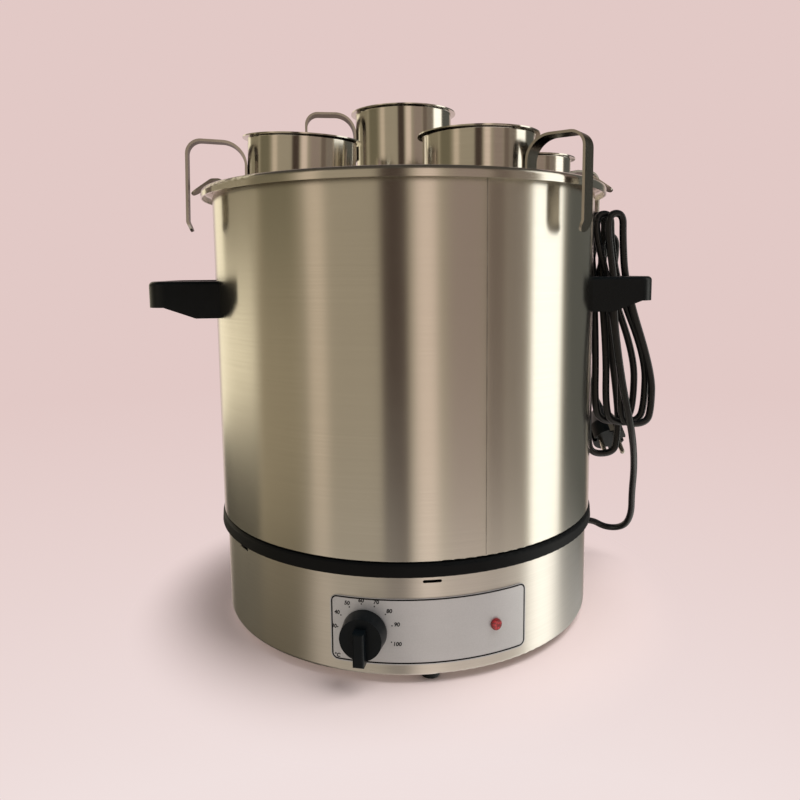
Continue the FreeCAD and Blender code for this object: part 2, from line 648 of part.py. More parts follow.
def make_panel():
    """The curved front plate with rounded corners, over the casing."""
    outside = place(cylinder("panel_outside", "base_radius + panel_sheet", "panel_top - panel_low"),
                    z="panel_low")
    inside = place(cylinder("panel_inside", "base_radius", "200"))
    curve = cut("panel_curve", outside, [inside])
    face = block("panel_face", "panel_width", "60", "panel_top - panel_low")
    place(face, "-panel_width / 2", "-(base_radius + 10)", "panel_low")
    corners = round_edges("panel_corners", face, "panel_corner",
                          lambda edge: abs(edge.tangentAt(0).y) > 0.9)
    plate = common("panel_plate", [curve, corners])
    holes = [through_wall("panel_shaft_way", "shaft_hole_radius", "knob_angle", "knob_level"),
             through_wall("panel_lamp_way", "lamp_hole_radius", "lamp_angle", "lamp_level")]
    keep(cut("control_panel", plate, holes), "control_panel")


def make_knob():
    """A round skirt with a raised bar grip that points down at the off stop."""
    start = "base_radius + panel_sheet + knob_gap"
    skirt = place(cone("knob_skirt", "knob_face_radius", "knob_radius", "knob_depth"),
                  y=f"-({start} + knob_depth)", z="knob_level", axis=(1, 0, 0), angle="-90")
    grip = block("knob_bar", "grip_width", "grip_rise + grip_behind", "grip_above + grip_below")
    place(grip, "-grip_width / 2", f"-({start} + knob_depth + grip_rise)", "knob_level - grip_below")
    bar = round_edges("knob_grip", grip, "grip_round",
                      lambda edge: edge.BoundBox.YMax < value(f"-({start} + knob_depth)"))
    bore = forward(cylinder("knob_bore", "shaft_radius", "knob_bore_depth"), f"{start} + knob_bore_depth")
    whole = cut("knob", join("knob_solid", [skirt, bar]), [bore])
    keep(place(whole, angle="knob_angle"), "knob")


# Pilot lamp and supply

def make_lamp():
    """The lamp's tube through the casing, its clip inside and its red lens outside."""
    tube_solid = cylinder("lamp_body", "lamp_radius", "base_radius + panel_sheet - lamp_back")
    keep(radial(tube_solid, "lamp_angle", "lamp_back", "lamp_level"), "lamp_body")
    outside = cylinder("clip_disc", "clip_radius", "clip_sheet")
    inside = cylinder("clip_bore", "lamp_radius + 0.02", "clip_sheet")
    clip = cut("lamp_clip", outside, [inside])
    keep(radial(clip, "lamp_angle", "clip_front - clip_sheet", "lamp_level"), "lamp_clip")
    dome = cylinder("lens_disc", "lens_radius", "lens_depth")
    lens = round_edges("lamp_lens", dome, "lens_round",
                       lambda edge: edge.BoundBox.ZMin > value("lens_depth") - 0.1)
    keep(radial(lens, "lamp_angle", "base_radius + panel_sheet", "lamp_level"), "lamp_lens")


def make_gland():
    """The cord's gland in the casing wall, its nut inside and the tapered strain relief outside."""
    angle = "90 + gland_angle"
    stem = cylinder("gland_stem", "gland_radius", "base_radius + 0.6 - gland_back")
    collar = cylinder("gland_collar", "collar_radius", "collar_depth")
    place(collar, z="base_radius + 0.6 - gland_back")
    keep(radial(join("cord_gland", [stem, collar]), angle, "gland_back", "gland_level"), "cord_gland")
    outside = hexagon("gland_nut_body", "gland_nut_flats", "gland_nut_depth")
    inside = cylinder("gland_nut_bore", "gland_radius + 0.02", "gland_nut_depth")
    nut = cut("gland_nut", outside, [inside])
    keep(radial(nut, angle, "base_radius - base_sheet - 0.6 - gland_nut_depth", "gland_level"), "gland_nut")
    relief = cone("strain_relief", "relief_radius", "cord_radius + 0.8", "relief_length")
    keep(radial(relief, angle, "base_radius + 0.6 + collar_depth", "gland_level"), "strain_relief")


def gland_out():
    """The direction in which the cord leaves the gland, and the point where it does."""
    angle = math.radians(value("gland_angle"))
    out = Vector(math.cos(angle), math.sin(angle), 0)
    reach = value("base_radius + 0.6 + collar_depth + relief_length")
    return out, out * reach + Vector(0, 0, value("gland_level"))


def make_wiring():
    """The terminal block on the bottom plate, and the wires that meet it."""
    top = "base_low + base_sheet + plate_sheet"
    case = block("block_case", "block_length", "block_width", "block_height")
    bores = []
    for index in range(3):
        bore = cylinder(f"block_bore_{index}", "block_bore_radius", "block_width")
        bores.append(place(bore, f"block_length * {(index + 0.5) / 3}", "block_width", "block_height / 2",
                           axis=(1, 0, 0), angle="90"))
    whole = cut("terminal_block", case, bores)
    keep(place(whole, "block_x - block_length / 2", "block_y", top, angle="0"), "terminal_block")

    radius, low = value("wire_radius"), value(f"{top} + block_height / 2")
    left, front = value("block_x - block_length / 2"), value("block_y")
    third = value("block_length / 3")
    wires = []
    for index, (x, y, z) in enumerate(WIRE_ENDS):
        start = Vector(left + third * (index + 0.5), front, low)
        points = [start, start - Vector(0, 25, 0), Vector((start.x + x) / 2, (front + y) / 2 - 12, low + 8),
                  Vector(x, y, (low + z) / 2), Vector(x - 6, y - 8, z)]
        wires.append(tube(rounded_route(points, [6, 6, 6]), radius))
    back = value("block_y + block_width")
    out, _ = gland_out()
    inner = out * value("gland_back") + Vector(0, 0, value("gland_level"))
    end = Vector(value("block_x"), back, low)
    points = [inner, inner - out * 24, Vector((inner.x + end.x) / 2 - 8, back + 22, low + 8),
              end + Vector(0, 16, 0), end]
    wires.append(tube(rounded_route(points, [8, 7, 6]), value("cord_radius - 0.5")))
    keep(feature("wiring", Part.Compound(wires)), "wiring")


# Side handles

def make_handles():
    """Two black loop handles on tabs that are welded to the bath, each held by two screws."""
    tabs, screws = [], []
    for side, mirror in (("left", 180), ("right", 0)):
        profile = (
            ("pot_radius - 20", "handle_low"), ("handle_slope_end", "handle_low"),
            ("handle_reach - handle_flat", "handle_grip_low"), ("handle_reach", "handle_grip_low"),
            ("handle_reach", "handle_top"), ("pot_radius - 20", "handle_top"),
        )
        bow = padded(f"bow_{side}", "XZ_Plane", profile, "-handle_half", "2 * handle_half")
        opening = block(f"opening_{side}", "handle_reach - handle_bar",
                        "2 * (handle_half - handle_leg)", "100")
        place(opening, "0", "-(handle_half - handle_leg)", "handle_low - 20")
        window = round_edges(f"window_{side}", opening, "handle_inner_corner", is_upright)
        outer = round_edges(f"bow_round_{side}", bow, "handle_corner",
                            lambda edge: is_upright(edge)
                            and edge.BoundBox.XMin > value("handle_reach") - 0.1)
        loop = cut(f"loop_{side}", outer, [window])
        soft = round_edges(f"loop_soft_{side}", loop, "handle_round", is_outer_top)
        wall = place(cylinder(f"wall_{side}", "pot_radius", "500"))
        ways = [wall]
        for leg in (-1, 1):
            middle = f"{leg} * (handle_half - handle_leg / 2)"
            slot = block(f"tab_slot_{side}_{leg + 1}", "tab_reach + tab_play", "tab_width + 2 * tab_play",
                         "tab_sheet + 2 * tab_play")
            ways.append(place(slot, "0", f"{middle} - tab_width / 2 - tab_play", "tab_level - tab_play"))
            way = cylinder(f"screw_way_{side}_{leg + 1}", "handle_screw_radius + 0.1",
                           "tab_level - handle_low + 6")
            ways.append(place(way, "tab_end", middle, "handle_low - 1"))
            sink = cylinder(f"screw_sink_{side}_{leg + 1}", "handle_screw_head_radius + 0.2",
                            "handle_screw_head + 1")
            ways.append(place(sink, "tab_end", middle, "handle_low - 1"))
            tabs.append(handle_tab(f"{side}_{leg + 1}", middle, mirror))
            screws.append(handle_screw(f"{side}_{leg + 1}", middle, mirror))
        grip = cut(f"handle_{side}", soft, ways)
        keep(place(grip, angle=str(mirror)), f"handle_{side}")
    keep(group("handle_tabs", tabs), "handle_tabs")
    keep(group("handle_screws", screws), "handle_screws")


def is_outer_top(edge):
    """The edges round the top of a handle's outside: its front, its two sides and the corners between."""
    box = edge.BoundBox
    level = box.ZMax - box.ZMin < 1e-6 and abs(box.ZMin - value("handle_top")) < 1e-6
    front = box.XMin > value("handle_reach") - 0.1
    outside = max(abs(box.YMin), abs(box.YMax)) > value("handle_half - handle_leg") + 1
    return level and (front or outside and box.XMax > value("pot_radius"))


def handle_tab(name, middle, mirror):
    """A steel tab from the bath's wall into a handle's leg, with a hole for its screw."""
    plate = block(f"tab_plate_{name}", "tab_reach - 150", "tab_width", "tab_sheet")
    place(plate, "150", f"{middle} - tab_width / 2", "tab_level")
    wall = place(cylinder(f"tab_wall_{name}", "pot_radius", "500"))
    way = cylinder(f"tab_way_{name}", "handle_screw_radius + 0.02", "20")
    place(way, "tab_end", middle, "tab_level - 5")
    return place(cut(f"tab_{name}", plate, [wall, way]), angle=str(mirror))


def handle_screw(name, middle, mirror):
    """A screw from below, through a handle's leg into its tab."""
    head = cylinder(f"handle_head_{name}", "handle_screw_head_radius", "handle_screw_head")
    shank = cylinder(f"handle_shank_{name}", "handle_screw_radius",
                     "tab_level + tab_sheet - handle_low - handle_screw_head")
    place(head, "tab_end", middle, "handle_low")
    place(shank, "tab_end", middle, "handle_low + handle_screw_head")
    return place(join(f"handle_screw_{name}", [head, shank]), angle=str(mirror))


# Rack

def make_rack():
    """The lift-out rack: a pierced plate on legs, and two lifting straps that reach over the rim."""
    disc = cylinder("rack_disc", "rack_radius", "rack_sheet")
    holes = []
    for ring in range(1, int(value("rack_hole_rings")) + 1):
        for index in range(6 * ring):
            angle = FULL_TURN * index / (6 * ring) + 15
            hole = cylinder(f"rack_hole_{ring}_{index}", "rack_hole_radius", "rack_sheet")
            holes.append(place(hole, f"{ring} * rack_hole_step * cos({angle})",
                               f"{ring} * rack_hole_step * sin({angle})"))
    keep(place(cut("rack_plate", disc, holes), z="rack_level"), "rack_plate")

    def leg(index, angle):
        foot = cylinder(f"rack_leg_{index}", "rack_leg_radius",
                        "rack_level - pot_low - pot_sheet - rack_gap")
        return place(foot, f"rack_leg_circle * cos({angle})", f"rack_leg_circle * sin({angle})",
                     "pot_low + pot_sheet + rack_gap")

    keep(group("rack_legs", ring_of("4", "rack_leg_first + 25", leg)), "rack_legs")

    for side, turn in (("left", 180), ("right", 0)):
        keep(feature(f"rack_strap_{side}", rack_strap(),
                     rotation=Rotation(Vector(0, 0, 1), turn + value("strap_angle"))), f"rack_strap_{side}")


def rack_strap():
    """A strap along +X: a foot under the plate, a run up the bath's wall and a lip over the rim."""
    sheet_half = value("strap_sheet") / 2
    foot_level = value("rack_level") - sheet_half
    inside, top = value("strap_inside"), value("strap_top")
    end = Vector(value("strap_end_x"), 0, value("strap_end_z"))
    points = [Vector(inside - value("strap_foot"), 0, foot_level), Vector(inside, 0, foot_level),
              Vector(inside, 0, top), Vector(inside + 2 * value("strap_bend"), 0, top), end]
    bend = value("strap_bend")
    route = rounded_route(points, [bend / 2, bend, bend])
    return round_tip(bent_strip(route, 2 * sheet_half, value("strap_width")), end)


def round_tip(solid, end):
    """Round the two corners of a strip at its free end."""
    width = solid.BoundBox.YLength
    tip = [edge for edge in solid.Edges if edge.BoundBox.YLength < 1e-6
           and all((Vector(end.x, vertex.Y, end.z) - vertex.Point).Length < 2 for vertex in edge.Vertexes)]
    return solid.makeFillet(width * 0.4, tip)


def bent_strip(route, thickness, width):
    """A flat strip of even thickness bent along a route in the XZ plane, centred on Y = 0."""
    face = Part.Face(strip_ring(route, thickness))
    solid = face.extrude(Vector(0, width, 0))
    solid.translate(Vector(0, -width / 2, 0))
    return solid


def strip_ring(route, thickness):
    """The closed wire round a strip, with each line and arc of its route set off to both sides."""
    half = thickness / 2
    sides = ([], [])
    for edge in route.Edges:
        first, last = edge.FirstParameter, edge.LastParameter
        stations = (first, (first + last) / 2, last)
        for side, sign in zip(sides, (1, -1)):
            spots = []
            for station in stations:
                ahead = edge.tangentAt(station)
                if edge.Orientation == "Reversed":
                    ahead = ahead * -1
                spots.append(edge.valueAt(station) + Vector(-ahead.z, 0, ahead.x) * (sign * half))
            straight = isinstance(edge.Curve, Part.Line)
            side.append(Part.makeLine(spots[0], spots[2]) if straight else Part.Arc(*spots).toShape())
    ends = []
    for station in (0, -1):
        spots = [min((vertex.Point for vertex in side[station].Vertexes),
                     key=lambda point: (point - route.OrderedVertexes[station].Point).Length)
                 for side in sides]
        ends.append(Part.makeLine(*spots))
    return Part.Wire(Part.__sortEdges__(sides[0] + sides[1] + ends))


# Cups

def make_cups():
    """Four dipping cups of thin steel, each with a flat strip handle that hooks over the rim."""
    for name, x, y, z, radius, rim, direction, drop, flat, lean, toward in CUPS:
        low, neck = cup_bottom(z, radius, math.radians(lean)), "-cup_neck_drop"
        body = spun(name, (
            ("0", str(low)), (str(radius), str(low)), (str(radius), neck), (str(rim), "-cup_sheet"),
            (str(rim), "0"), (f"{rim} - 0.6", "0"), (f"{radius} - cup_sheet", f"{neck} + 0.6"),
            (f"{radius} - cup_sheet", f"{low} + cup_sheet"), ("0", f"{low} + cup_sheet"),
        ), (
            (str(radius), str(low), "cup_round"),
            (f"{radius} - cup_sheet", f"{low} + cup_sheet", "cup_round - cup_sheet"),
            (str(radius), neck, "cup_flare"),
            (f"{radius} - cup_sheet", f"{neck} + 0.6", "cup_flare + cup_sheet"),
        ))
        tilt = Rotation(Vector(0, 0, 1).cross(Rotation(Vector(0, 0, 1), toward) * Vector(1, 0, 0)), lean)
        body.Placement = Placement(Vector(x, y, z), tilt)
        keep(body, name)
        label = name.replace("cup_", "cup_handle_")
        turn = tilt.multiply(Rotation(Vector(0, 0, 1), direction))
        keep(feature(label, cup_strip(radius, -drop, flat), Vector(x, y, z), turn), label)


def cup_bottom(level, radius, lean):
    """The height of a cup's bottom below its rim, for a rim level and a lean, so that it stands clear."""
    flat = radius - value("cup_round")
    stand = level - value("rack_level + rack_sheet + cup_gap + cup_round")
    return (flat * math.sin(lean) - stand) / math.cos(lean) - value("cup_round")


def cup_strip(radius, crown, flat):
    """A strip welded to the cup's wall, up beside its rim, over in a bow and down to a bent toe."""
    half = value("strip_sheet") / 2
    near = radius + value("strip_gap") + half
    far = near + value("strip_outer_bend + strip_inner_bend") + flat
    crown -= half
    toe = math.radians(value("strip_toe_angle"))
    points = [Vector(near, 0, crown - value("strip_hold")), Vector(near, 0, crown), Vector(far, 0, crown),
              Vector(far, 0, crown - value("strip_hang"))]
    points.append(points[-1] + Vector(-math.sin(toe), 0, -math.cos(toe)) * value("strip_toe"))
    route = rounded_route(points, [value("strip_inner_bend"), value("strip_outer_bend"),
                                   value("strip_toe_bend")])
    return round_tip(bent_strip(route, 2 * half, value("strip_width")), points[-1])


# Mains lead

def loop_at(number):
    """The sizes of one loop of the hank: depth, top, waist and bottom centres and half widths."""
    last = number == int(value("hank_loops")) - 1
    third = math.pi / 3
    return {
        "y": value("hank_front") + value("hank_pitch") * number,
        "top_x": value("hank_top_x") + value("hank_top_sway") * (-1) ** number,
        "top_z": value("hank_top") - value("hank_top_dip") * math.sin((number - 0.5) * third) ** 2,
        "waist_x": value("hank_waist_x") + value("hank_waist_step") * number,
        "low_x": value("hank_low_x") + value("hank_low_step") * number,
        "low_z": value("hank_low") - last * value("hank_long_drop"),
        "half": value("hank_low_half") + value("hank_low_swell") * math.sin(number * third) ** 2,
    }


def sway(start, end):
    """Two equal arcs from one upright strand to another that is set off to the side."""
    aside = Vector(end.x - start.x, end.y - start.y, 0)
    width, rise = aside.Length, end.z - start.z
    if width < 1e-6:
        return [Part.makeLine(start, end)]
    turn = 2 * math.atan2(width, abs(rise))
    radius = (width ** 2 + rise ** 2) / (4 * width)
    aside.normalize()
    up = Vector(0, 0, math.copysign(1, rise))
    bend = aside * (radius * (1 - math.cos(turn / 2))) + up * (radius * math.sin(turn / 2))
    middle = (start + end) / 2
    return [Part.Arc(start, start + bend, middle).toShape(), Part.Arc(middle, end - bend, end).toShape()]


def hank_route():
    """The hank's centre line: over the top, down the right, under and up the left, once per loop."""
    waist, arch, pinch = value("hank_waist"), value("hank_top_half"), value("hank_waist_half")
    count = int(value("hank_loops"))
    here = hank_start()
    edges = []
    for number in range(count + 1):
        size = loop_at(number)
        if number > 0:
            left = Vector(size["waist_x"] - pinch, size["y"], waist)
            edges += sway(here, left)
            here = left
        rise = [Vector(size["top_x"] + step * arch, size["y"], size["top_z"] + min(0, -abs(step) * arch))
                for step in (-1, 0, 1)]
        edges += sway(here, rise[0])
        edges.append(Part.Arc(*rise).toShape())
        right = Vector(size["waist_x"] + pinch, size["y"], waist)
        edges += sway(rise[2], right)
        here = right
        if number == count:
            break
        fall = [Vector(size["low_x"] - step * size["half"], size["y"],
                       size["low_z"] + abs(step) * size["half"]) for step in (-1, 0, 1)]
        edges += sway(here, fall[0])
        edges.append(Part.Arc(*fall).toShape())
        here = fall[2]
    return Part.Wire(edges), here


def hank_start():
    """Where the lead from the base becomes the hank, at the waist in front of the first loop."""
    return Vector(LEAD_POINTS[-1][0], LEAD_POINTS[-1][1], value("hank_waist"))


def gap_in(route, diameter, step=2.0):
    """The least distance between two stretches of a tube's centre line, less its diameter."""
    count = int(route.Length / step)
    points = route.discretize(count)
    near = int(3 * diameter / step)
    best = 1e9
    for index, point in enumerate(points):
        for other in points[index + near:]:
            if abs(point.z - other.z) > 2 * diameter:
                continue
            best = min(best, (point - other).Length)
    return best - diameter


def plug_axis():
    """The direction of the plug's pins, and the centre of its face."""
    tilt = math.radians(value("plug_tilt"))
    return (Vector(0, -math.cos(tilt), -math.sin(tilt)),
            Vector(value("plug_x"), value("plug_y"), value("plug_z")))


def make_cord():
    """The lead from the gland, the hank through the right handle and the tail to the plug."""
    radius = value("cord_radius")
    out, exit_point = gland_out()
    points = [exit_point, exit_point + out * value("lead_straight")]
    points += [Vector(*point) for point in LEAD_POINTS] + [hank_start()]
    radii = lead_radii(points)
    print("lead radii", [round(size, 1) for size in radii])
    route = rounded_route(points, radii)
    lead = tube(route, radius)
    compare_tube("cord_lead", lead, route, radius)
    keep(feature("cord_lead", lead), "cord_lead")
    total = route.Length

    route, end = hank_route()
    hank = tube(route, radius)
    compare_tube("cord_hank", hank, route, radius)
    print(f"least gap in the hank {gap_in(route, 2 * radius):.2f}")
    keep(feature("cord_hank", hank), "cord_hank")
    total += route.Length

    ahead, face = plug_axis()
    entry = face - ahead * value("plug_body + plug_boot")
    points = [end] + [Vector(*point) for point in TAIL_POINTS]
    points += [entry - ahead * value("tail_straight"), entry]
    radii = lead_radii(points)
    print("tail radii", [round(size, 1) for size in radii])
    route = rounded_route(points, radii)
    tail = tube(route, radius)
    compare_tube("cord_tail", tail, route, radius)
    keep(feature("cord_tail", tail), "cord_tail")
    total += route.Length
    print(f"cord length {total:.0f}")


def make_plug():
    """The earthed plug: round front with side grooves, tapering to a boot, with pins and earth clips."""
    ahead, face = plug_axis()
    turn = Rotation(Vector(0, 0, 1), ahead)
    body = [place(cylinder("plug_head", "plug_radius", "plug_front"), z="-plug_front")]
    body.append(place(cone("plug_taper", "plug_waist_radius", "plug_radius", "plug_body - plug_front"),
                      z="-plug_body"))
    body.append(place(cone("plug_boot_cone", "cord_radius + 0.6", "plug_boot_radius", "plug_boot"),
                      z="-plug_body - plug_boot"))
    cuts = []
    for side in (-1, 1):
        edge = f"{side} * (plug_radius - plug_groove / 2) - plug_groove / 2"
        groove = block(f"plug_groove_{side + 1}", "plug_groove", "plug_groove_width", "plug_front + 1")
        cuts.append(place(groove, edge, "-plug_groove_width / 2", "-plug_front"))
        recess = block(f"plug_recess_{side + 1}", "plug_clip_width", "plug_groove", "plug_front + 1")
        cuts.append(place(recess, "-plug_clip_width / 2", edge, "-plug_front"))
    whole = cut("plug_body", join("plug_solid", body), cuts)
    whole.Placement = Placement(face, turn)
    keep(whole, "plug_body")
    pins, clips = [], []
    for side in (-1, 1):
        pin = cylinder(f"pin_{side + 1}", "pin_radius", "pin_length - pin_radius")
        ball = bind(doc.addObject("Part::Sphere", f"pin_end_{side + 1}"), Radius="pin_radius")
        place(pin, f"{side} * pin_half", "0")
        place(ball, f"{side} * pin_half", "0", "pin_length - pin_radius")
        pins.append(join(f"plug_pin_{side + 1}", [pin, ball]))
        clip = block(f"plug_clip_{side + 1}", "plug_clip_width - 1", "plug_clip_sheet", "plug_front - 1")
        edge = f"{side} * (plug_radius - plug_groove + plug_clip_sheet / 2) - plug_clip_sheet / 2"
        clips.append(place(clip, "(1 - plug_clip_width) / 2", edge, "-plug_front"))
    for label, items in (("plug_pins", pins), ("plug_earth_clips", clips)):
        both = group(label, items)
        both.Placement = Placement(face, turn)
        keep(both, label)


# Check and write

def check_and_write():
    """Stop on any failed object or bad shape, then write each sub-part to its own file."""
    doc.recompute()
    faults = [item.Name for item in doc.Objects if {"Invalid", "Error"} & set(item.State)]
    faults += [item.Label for item in nodes if item.Shape.isNull() or not item.Shape.isValid()]
    faults += [item.Label for item in nodes if not item.Shape.isNull() and not item.Shape.Solids]
    if faults:
        raise RuntimeError(f"failed objects: {sorted(set(faults))}")
    os.makedirs(PART_DIR, exist_ok=True)
    for item in nodes:
        item.Shape.exportStep(os.path.join(PART_DIR, item.Label + ".step"))
    print(f"{len(nodes)} nodes written")


fill_sheet()
make_base_shell()
make_base_plate()
make_feet()
make_plate_screws()
make_seal_ring()
make_pot()
make_tie_studs()
make_heating()
make_thermostat()
make_probe()
make_panel()
make_knob()
make_lamp()
make_gland()
make_wiring()
make_handles()
make_rack()
make_cups()
make_cord()
make_plug()
check_and_write()
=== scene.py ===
import logging
import math
from dataclasses import dataclass, field
from enum import Enum

import bmesh
import bpy
from mathutils import Matrix, Vector


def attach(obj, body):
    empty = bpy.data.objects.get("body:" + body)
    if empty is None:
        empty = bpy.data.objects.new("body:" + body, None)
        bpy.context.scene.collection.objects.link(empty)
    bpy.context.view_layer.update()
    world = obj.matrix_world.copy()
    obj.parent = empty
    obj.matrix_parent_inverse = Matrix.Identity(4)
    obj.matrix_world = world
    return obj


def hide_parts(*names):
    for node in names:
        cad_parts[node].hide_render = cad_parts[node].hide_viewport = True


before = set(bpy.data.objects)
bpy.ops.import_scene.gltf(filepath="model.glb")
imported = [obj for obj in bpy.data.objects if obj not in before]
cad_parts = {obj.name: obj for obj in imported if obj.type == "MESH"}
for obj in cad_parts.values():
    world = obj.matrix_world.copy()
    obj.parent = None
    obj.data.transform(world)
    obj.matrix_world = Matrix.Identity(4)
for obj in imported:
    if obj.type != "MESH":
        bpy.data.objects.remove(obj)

# A candle wax melter in a plain studio: a steel water bath on a heating casing, four dipping
# cups on a rack inside it, and a mains lead hanked through its right handle. Metres, +Z up,
# the front faces -Y.

log = logging.getLogger("wax_melter")
MM = 0.001
ACROSS_THE_MARKS = 0.25  # of a whole turn, so that reflections are drawn out up and down a drum
EDGE_FADE = 2.0  # degrees on either side of a card's upper and lower edges
Colour = tuple[float, float, float]
Point = tuple[float, float, float]
Socket = bpy.types.NodeSocket
Source = Socket | float | tuple[float, ...]


class Grain(Enum):
    """The way in which a metal surface was finished, as how far its marks run along X, Y and Z."""

    ROUND_THE_DRUM = (7.0, 7.0, 1400.0)
    FINE_ROUND = (10.0, 10.0, 2400.0)
    UPRIGHT = (1500.0, 1500.0, 12.0)
    ROLLED = (260.0, 260.0, 260.0)
    SATIN = (45.0, 45.0, 45.0)


# Node trees

class Shader:
    """A material or world whose node tree is built one node at a time."""

    def __init__(self, tree: bpy.types.NodeTree) -> None:
        """Start an empty tree.

        Args:
            tree: The node tree to fill.
        """
        self.tree = tree
        tree.nodes.clear()

    def node(self, kind: str, **settings: str) -> bpy.types.Node:
        """Add a node.

        Args:
            kind: Its type, without the leading "ShaderNode".
            **settings: Properties to set on it.

        Returns:
            The new node.
        """
        item = self.tree.nodes.new("ShaderNode" + kind)
        for key, setting in settings.items():
            setattr(item, key, setting)
        return item

    def feed(self, socket: Socket, source: Source) -> None:
        """Link a socket to an output, or set its value.

        Args:
            socket: The input to feed.
            source: An output socket, a number or a colour.
        """
        if isinstance(source, Socket):
            self.tree.links.new(source, socket)
        elif isinstance(source, tuple) and len(source) == 3 and socket.type == "RGBA":
            socket.default_value = (*source, 1.0)
        else:
            socket.default_value = source

    def math(self, operation: str, *values: Source) -> Socket:
        """Combine numbers.

        Args:
            operation: The Math node's operation.
            *values: Numbers or output sockets.

        Returns:
            The result's socket.
        """
        item = self.node("Math", operation=operation)
        for socket, source in zip(item.inputs, values):
            self.feed(socket, source)
        return item.outputs[0]

    def blend(self, amount: Source, first: Source, second: Source) -> Socket:
        """Mix two colours.

        Args:
            amount: How much of the second shows.
            first: A colour or socket.
            second: A colour or socket.

        Returns:
            The mixed colour's socket.
        """
        item = self.node("Mix", data_type="RGBA")
        self.feed(item.inputs["Factor"], amount)
        self.feed(item.inputs[6], first)
        self.feed(item.inputs[7], second)
        return item.outputs[2]

    def span(self, number: Socket, low: float, high: float, start: float = 0.0, end: float = 1.0,
             smooth: bool = False) -> Socket:
        """Map a number from one range to another, held at both ends.

        Args:
            number: The number's socket.
            low: Where the first range begins.
            high: Where it ends.
            start: The result at low.
            end: The result at high.
            smooth: True for a soft start and end.

        Returns:
            The result's socket.
        """
        item = self.node("MapRange", interpolation_type="SMOOTHSTEP" if smooth else "LINEAR")
        for socket, source in zip(item.inputs, (number, low, high, start, end)):
            self.feed(socket, source)
        return item.outputs[0]

    def place(self, scale: Point = (1.0, 1.0, 1.0)) -> Socket:
        """Object coordinates, scaled.

        Args:
            scale: The scale along X, Y and Z.

        Returns:
            The vector's socket.
        """
        source = self.node("TexCoord")
        mapping = self.node("Mapping")
        mapping.inputs["Scale"].default_value = scale
        self.feed(mapping.inputs["Vector"], source.outputs["Object"])
        return mapping.outputs[0]

    def noise(self, vector: Socket, size: float, detail: float = 3.0, rough: float = 0.5) -> Socket:
        """A noise pattern.

        Args:
            vector: Where to read it.
            size: Its scale.
            detail: How many finer layers it has.
            rough: How strong they are.

        Returns:
            The pattern's socket, from 0 to 1.
        """
        item = self.node("TexNoise")
        for name, source in (("Vector", vector), ("Scale", size), ("Detail", detail), ("Roughness", rough)):
            self.feed(item.inputs[name], source)
        return item.outputs["Fac"]

    def distance(self, vector: Socket, point: Point) -> Socket:
        """How far a vector is from a point.

        Args:
            vector: The vector's socket.
            point: The point.

        Returns:
            The distance's socket.
        """
        item = self.node("VectorMath", operation="DISTANCE")
        self.feed(item.inputs[0], vector)
        item.inputs[1].default_value = point
        return item.outputs["Value"]

    def bump(self, height: Socket, depth: float) -> Socket:
        """Raise a surface by a pattern.

        Args:
            height: The pattern's socket.
            depth: Its height in metres.

        Returns:
            The normal's socket.
        """
        item = self.node("Bump")
        item.inputs["Strength"].default_value = 1.0
        item.inputs["Distance"].default_value = depth
        self.feed(item.inputs["Height"], height)
        return item.outputs[0]

    def surface(self, shader: Socket) -> None:
        """Connect the finished shader to the output.

        Args:
            shader: The shader's socket.
        """
        self.feed(self.node("OutputMaterial").inputs["Surface"], shader)


def new_material(name: str) -> tuple[bpy.types.Material, Shader]:
    """An empty material and its shader.

    Args:
        name: The material's name.

    Returns:
        The material and the shader that fills it.
    """
    material = bpy.data.materials.new(name)
    material.use_nodes = True
    return material, Shader(material.node_tree)


# Finishes

@dataclass(frozen=True)
class Steel:
    """Stainless or zinced steel with the marks of its last working.

    Attributes:
        name: The material's name.
        light: Colour of the clean metal.
        dark: Colour where it has dulled.
        rough: Roughness of the smoothest and the dullest places.
        grain: Which way its marks run.
        anisotropy: How far reflections are drawn out across the marks.
        mark: Depth of the marks in metres.
        edge: Tint of reflections at a grazing angle.
    """

    name: str
    light: Colour
    dark: Colour
    rough: tuple[float, float]
    grain: Grain
    anisotropy: float = 0.0
    mark: float = 2e-6
    edge: Colour = (1.0, 1.0, 1.0)

    def material(self) -> bpy.types.Material:
        """Build the material."""
        material, shade = new_material(self.name)
        lines = shade.noise(shade.place(self.grain.value), 1.0, 4.0, 0.6)
        cloud = shade.noise(shade.place((9.0, 9.0, 5.0)), 1.0, 4.0, 0.55)
        smear = shade.noise(shade.place((34.0, 34.0, 9.0)), 1.0, 3.0, 0.6)
        dull = shade.math("ADD", shade.math("MULTIPLY", lines, 0.55), shade.math("MULTIPLY", cloud, 0.45))
        bsdf = shade.node("BsdfPrincipled")
        shade.feed(bsdf.inputs["Base Color"],
                   shade.blend(shade.span(dull, 0.35, 0.7), self.light, self.dark))
        wear = shade.math("ADD", shade.math("MULTIPLY", lines, 0.6), shade.math("MULTIPLY", smear, 0.4))
        shade.feed(bsdf.inputs["Roughness"], shade.span(wear, 0.3, 0.7, *self.rough))
        bsdf.inputs["Metallic"].default_value = 1.0
        bsdf.inputs["Specular Tint"].default_value = (*self.edge, 1.0)
        if self.anisotropy:
            bsdf.inputs["Anisotropic"].default_value = self.anisotropy
            bsdf.inputs["Anisotropic Rotation"].default_value = ACROSS_THE_MARKS
            tangent = shade.node("Tangent", direction_type="RADIAL", axis="Z")
            shade.feed(bsdf.inputs["Tangent"], tangent.outputs[0])
        if self.mark:
            shade.feed(bsdf.inputs["Normal"], shade.bump(lines, self.mark))
        shade.surface(bsdf.outputs[0])
        return material


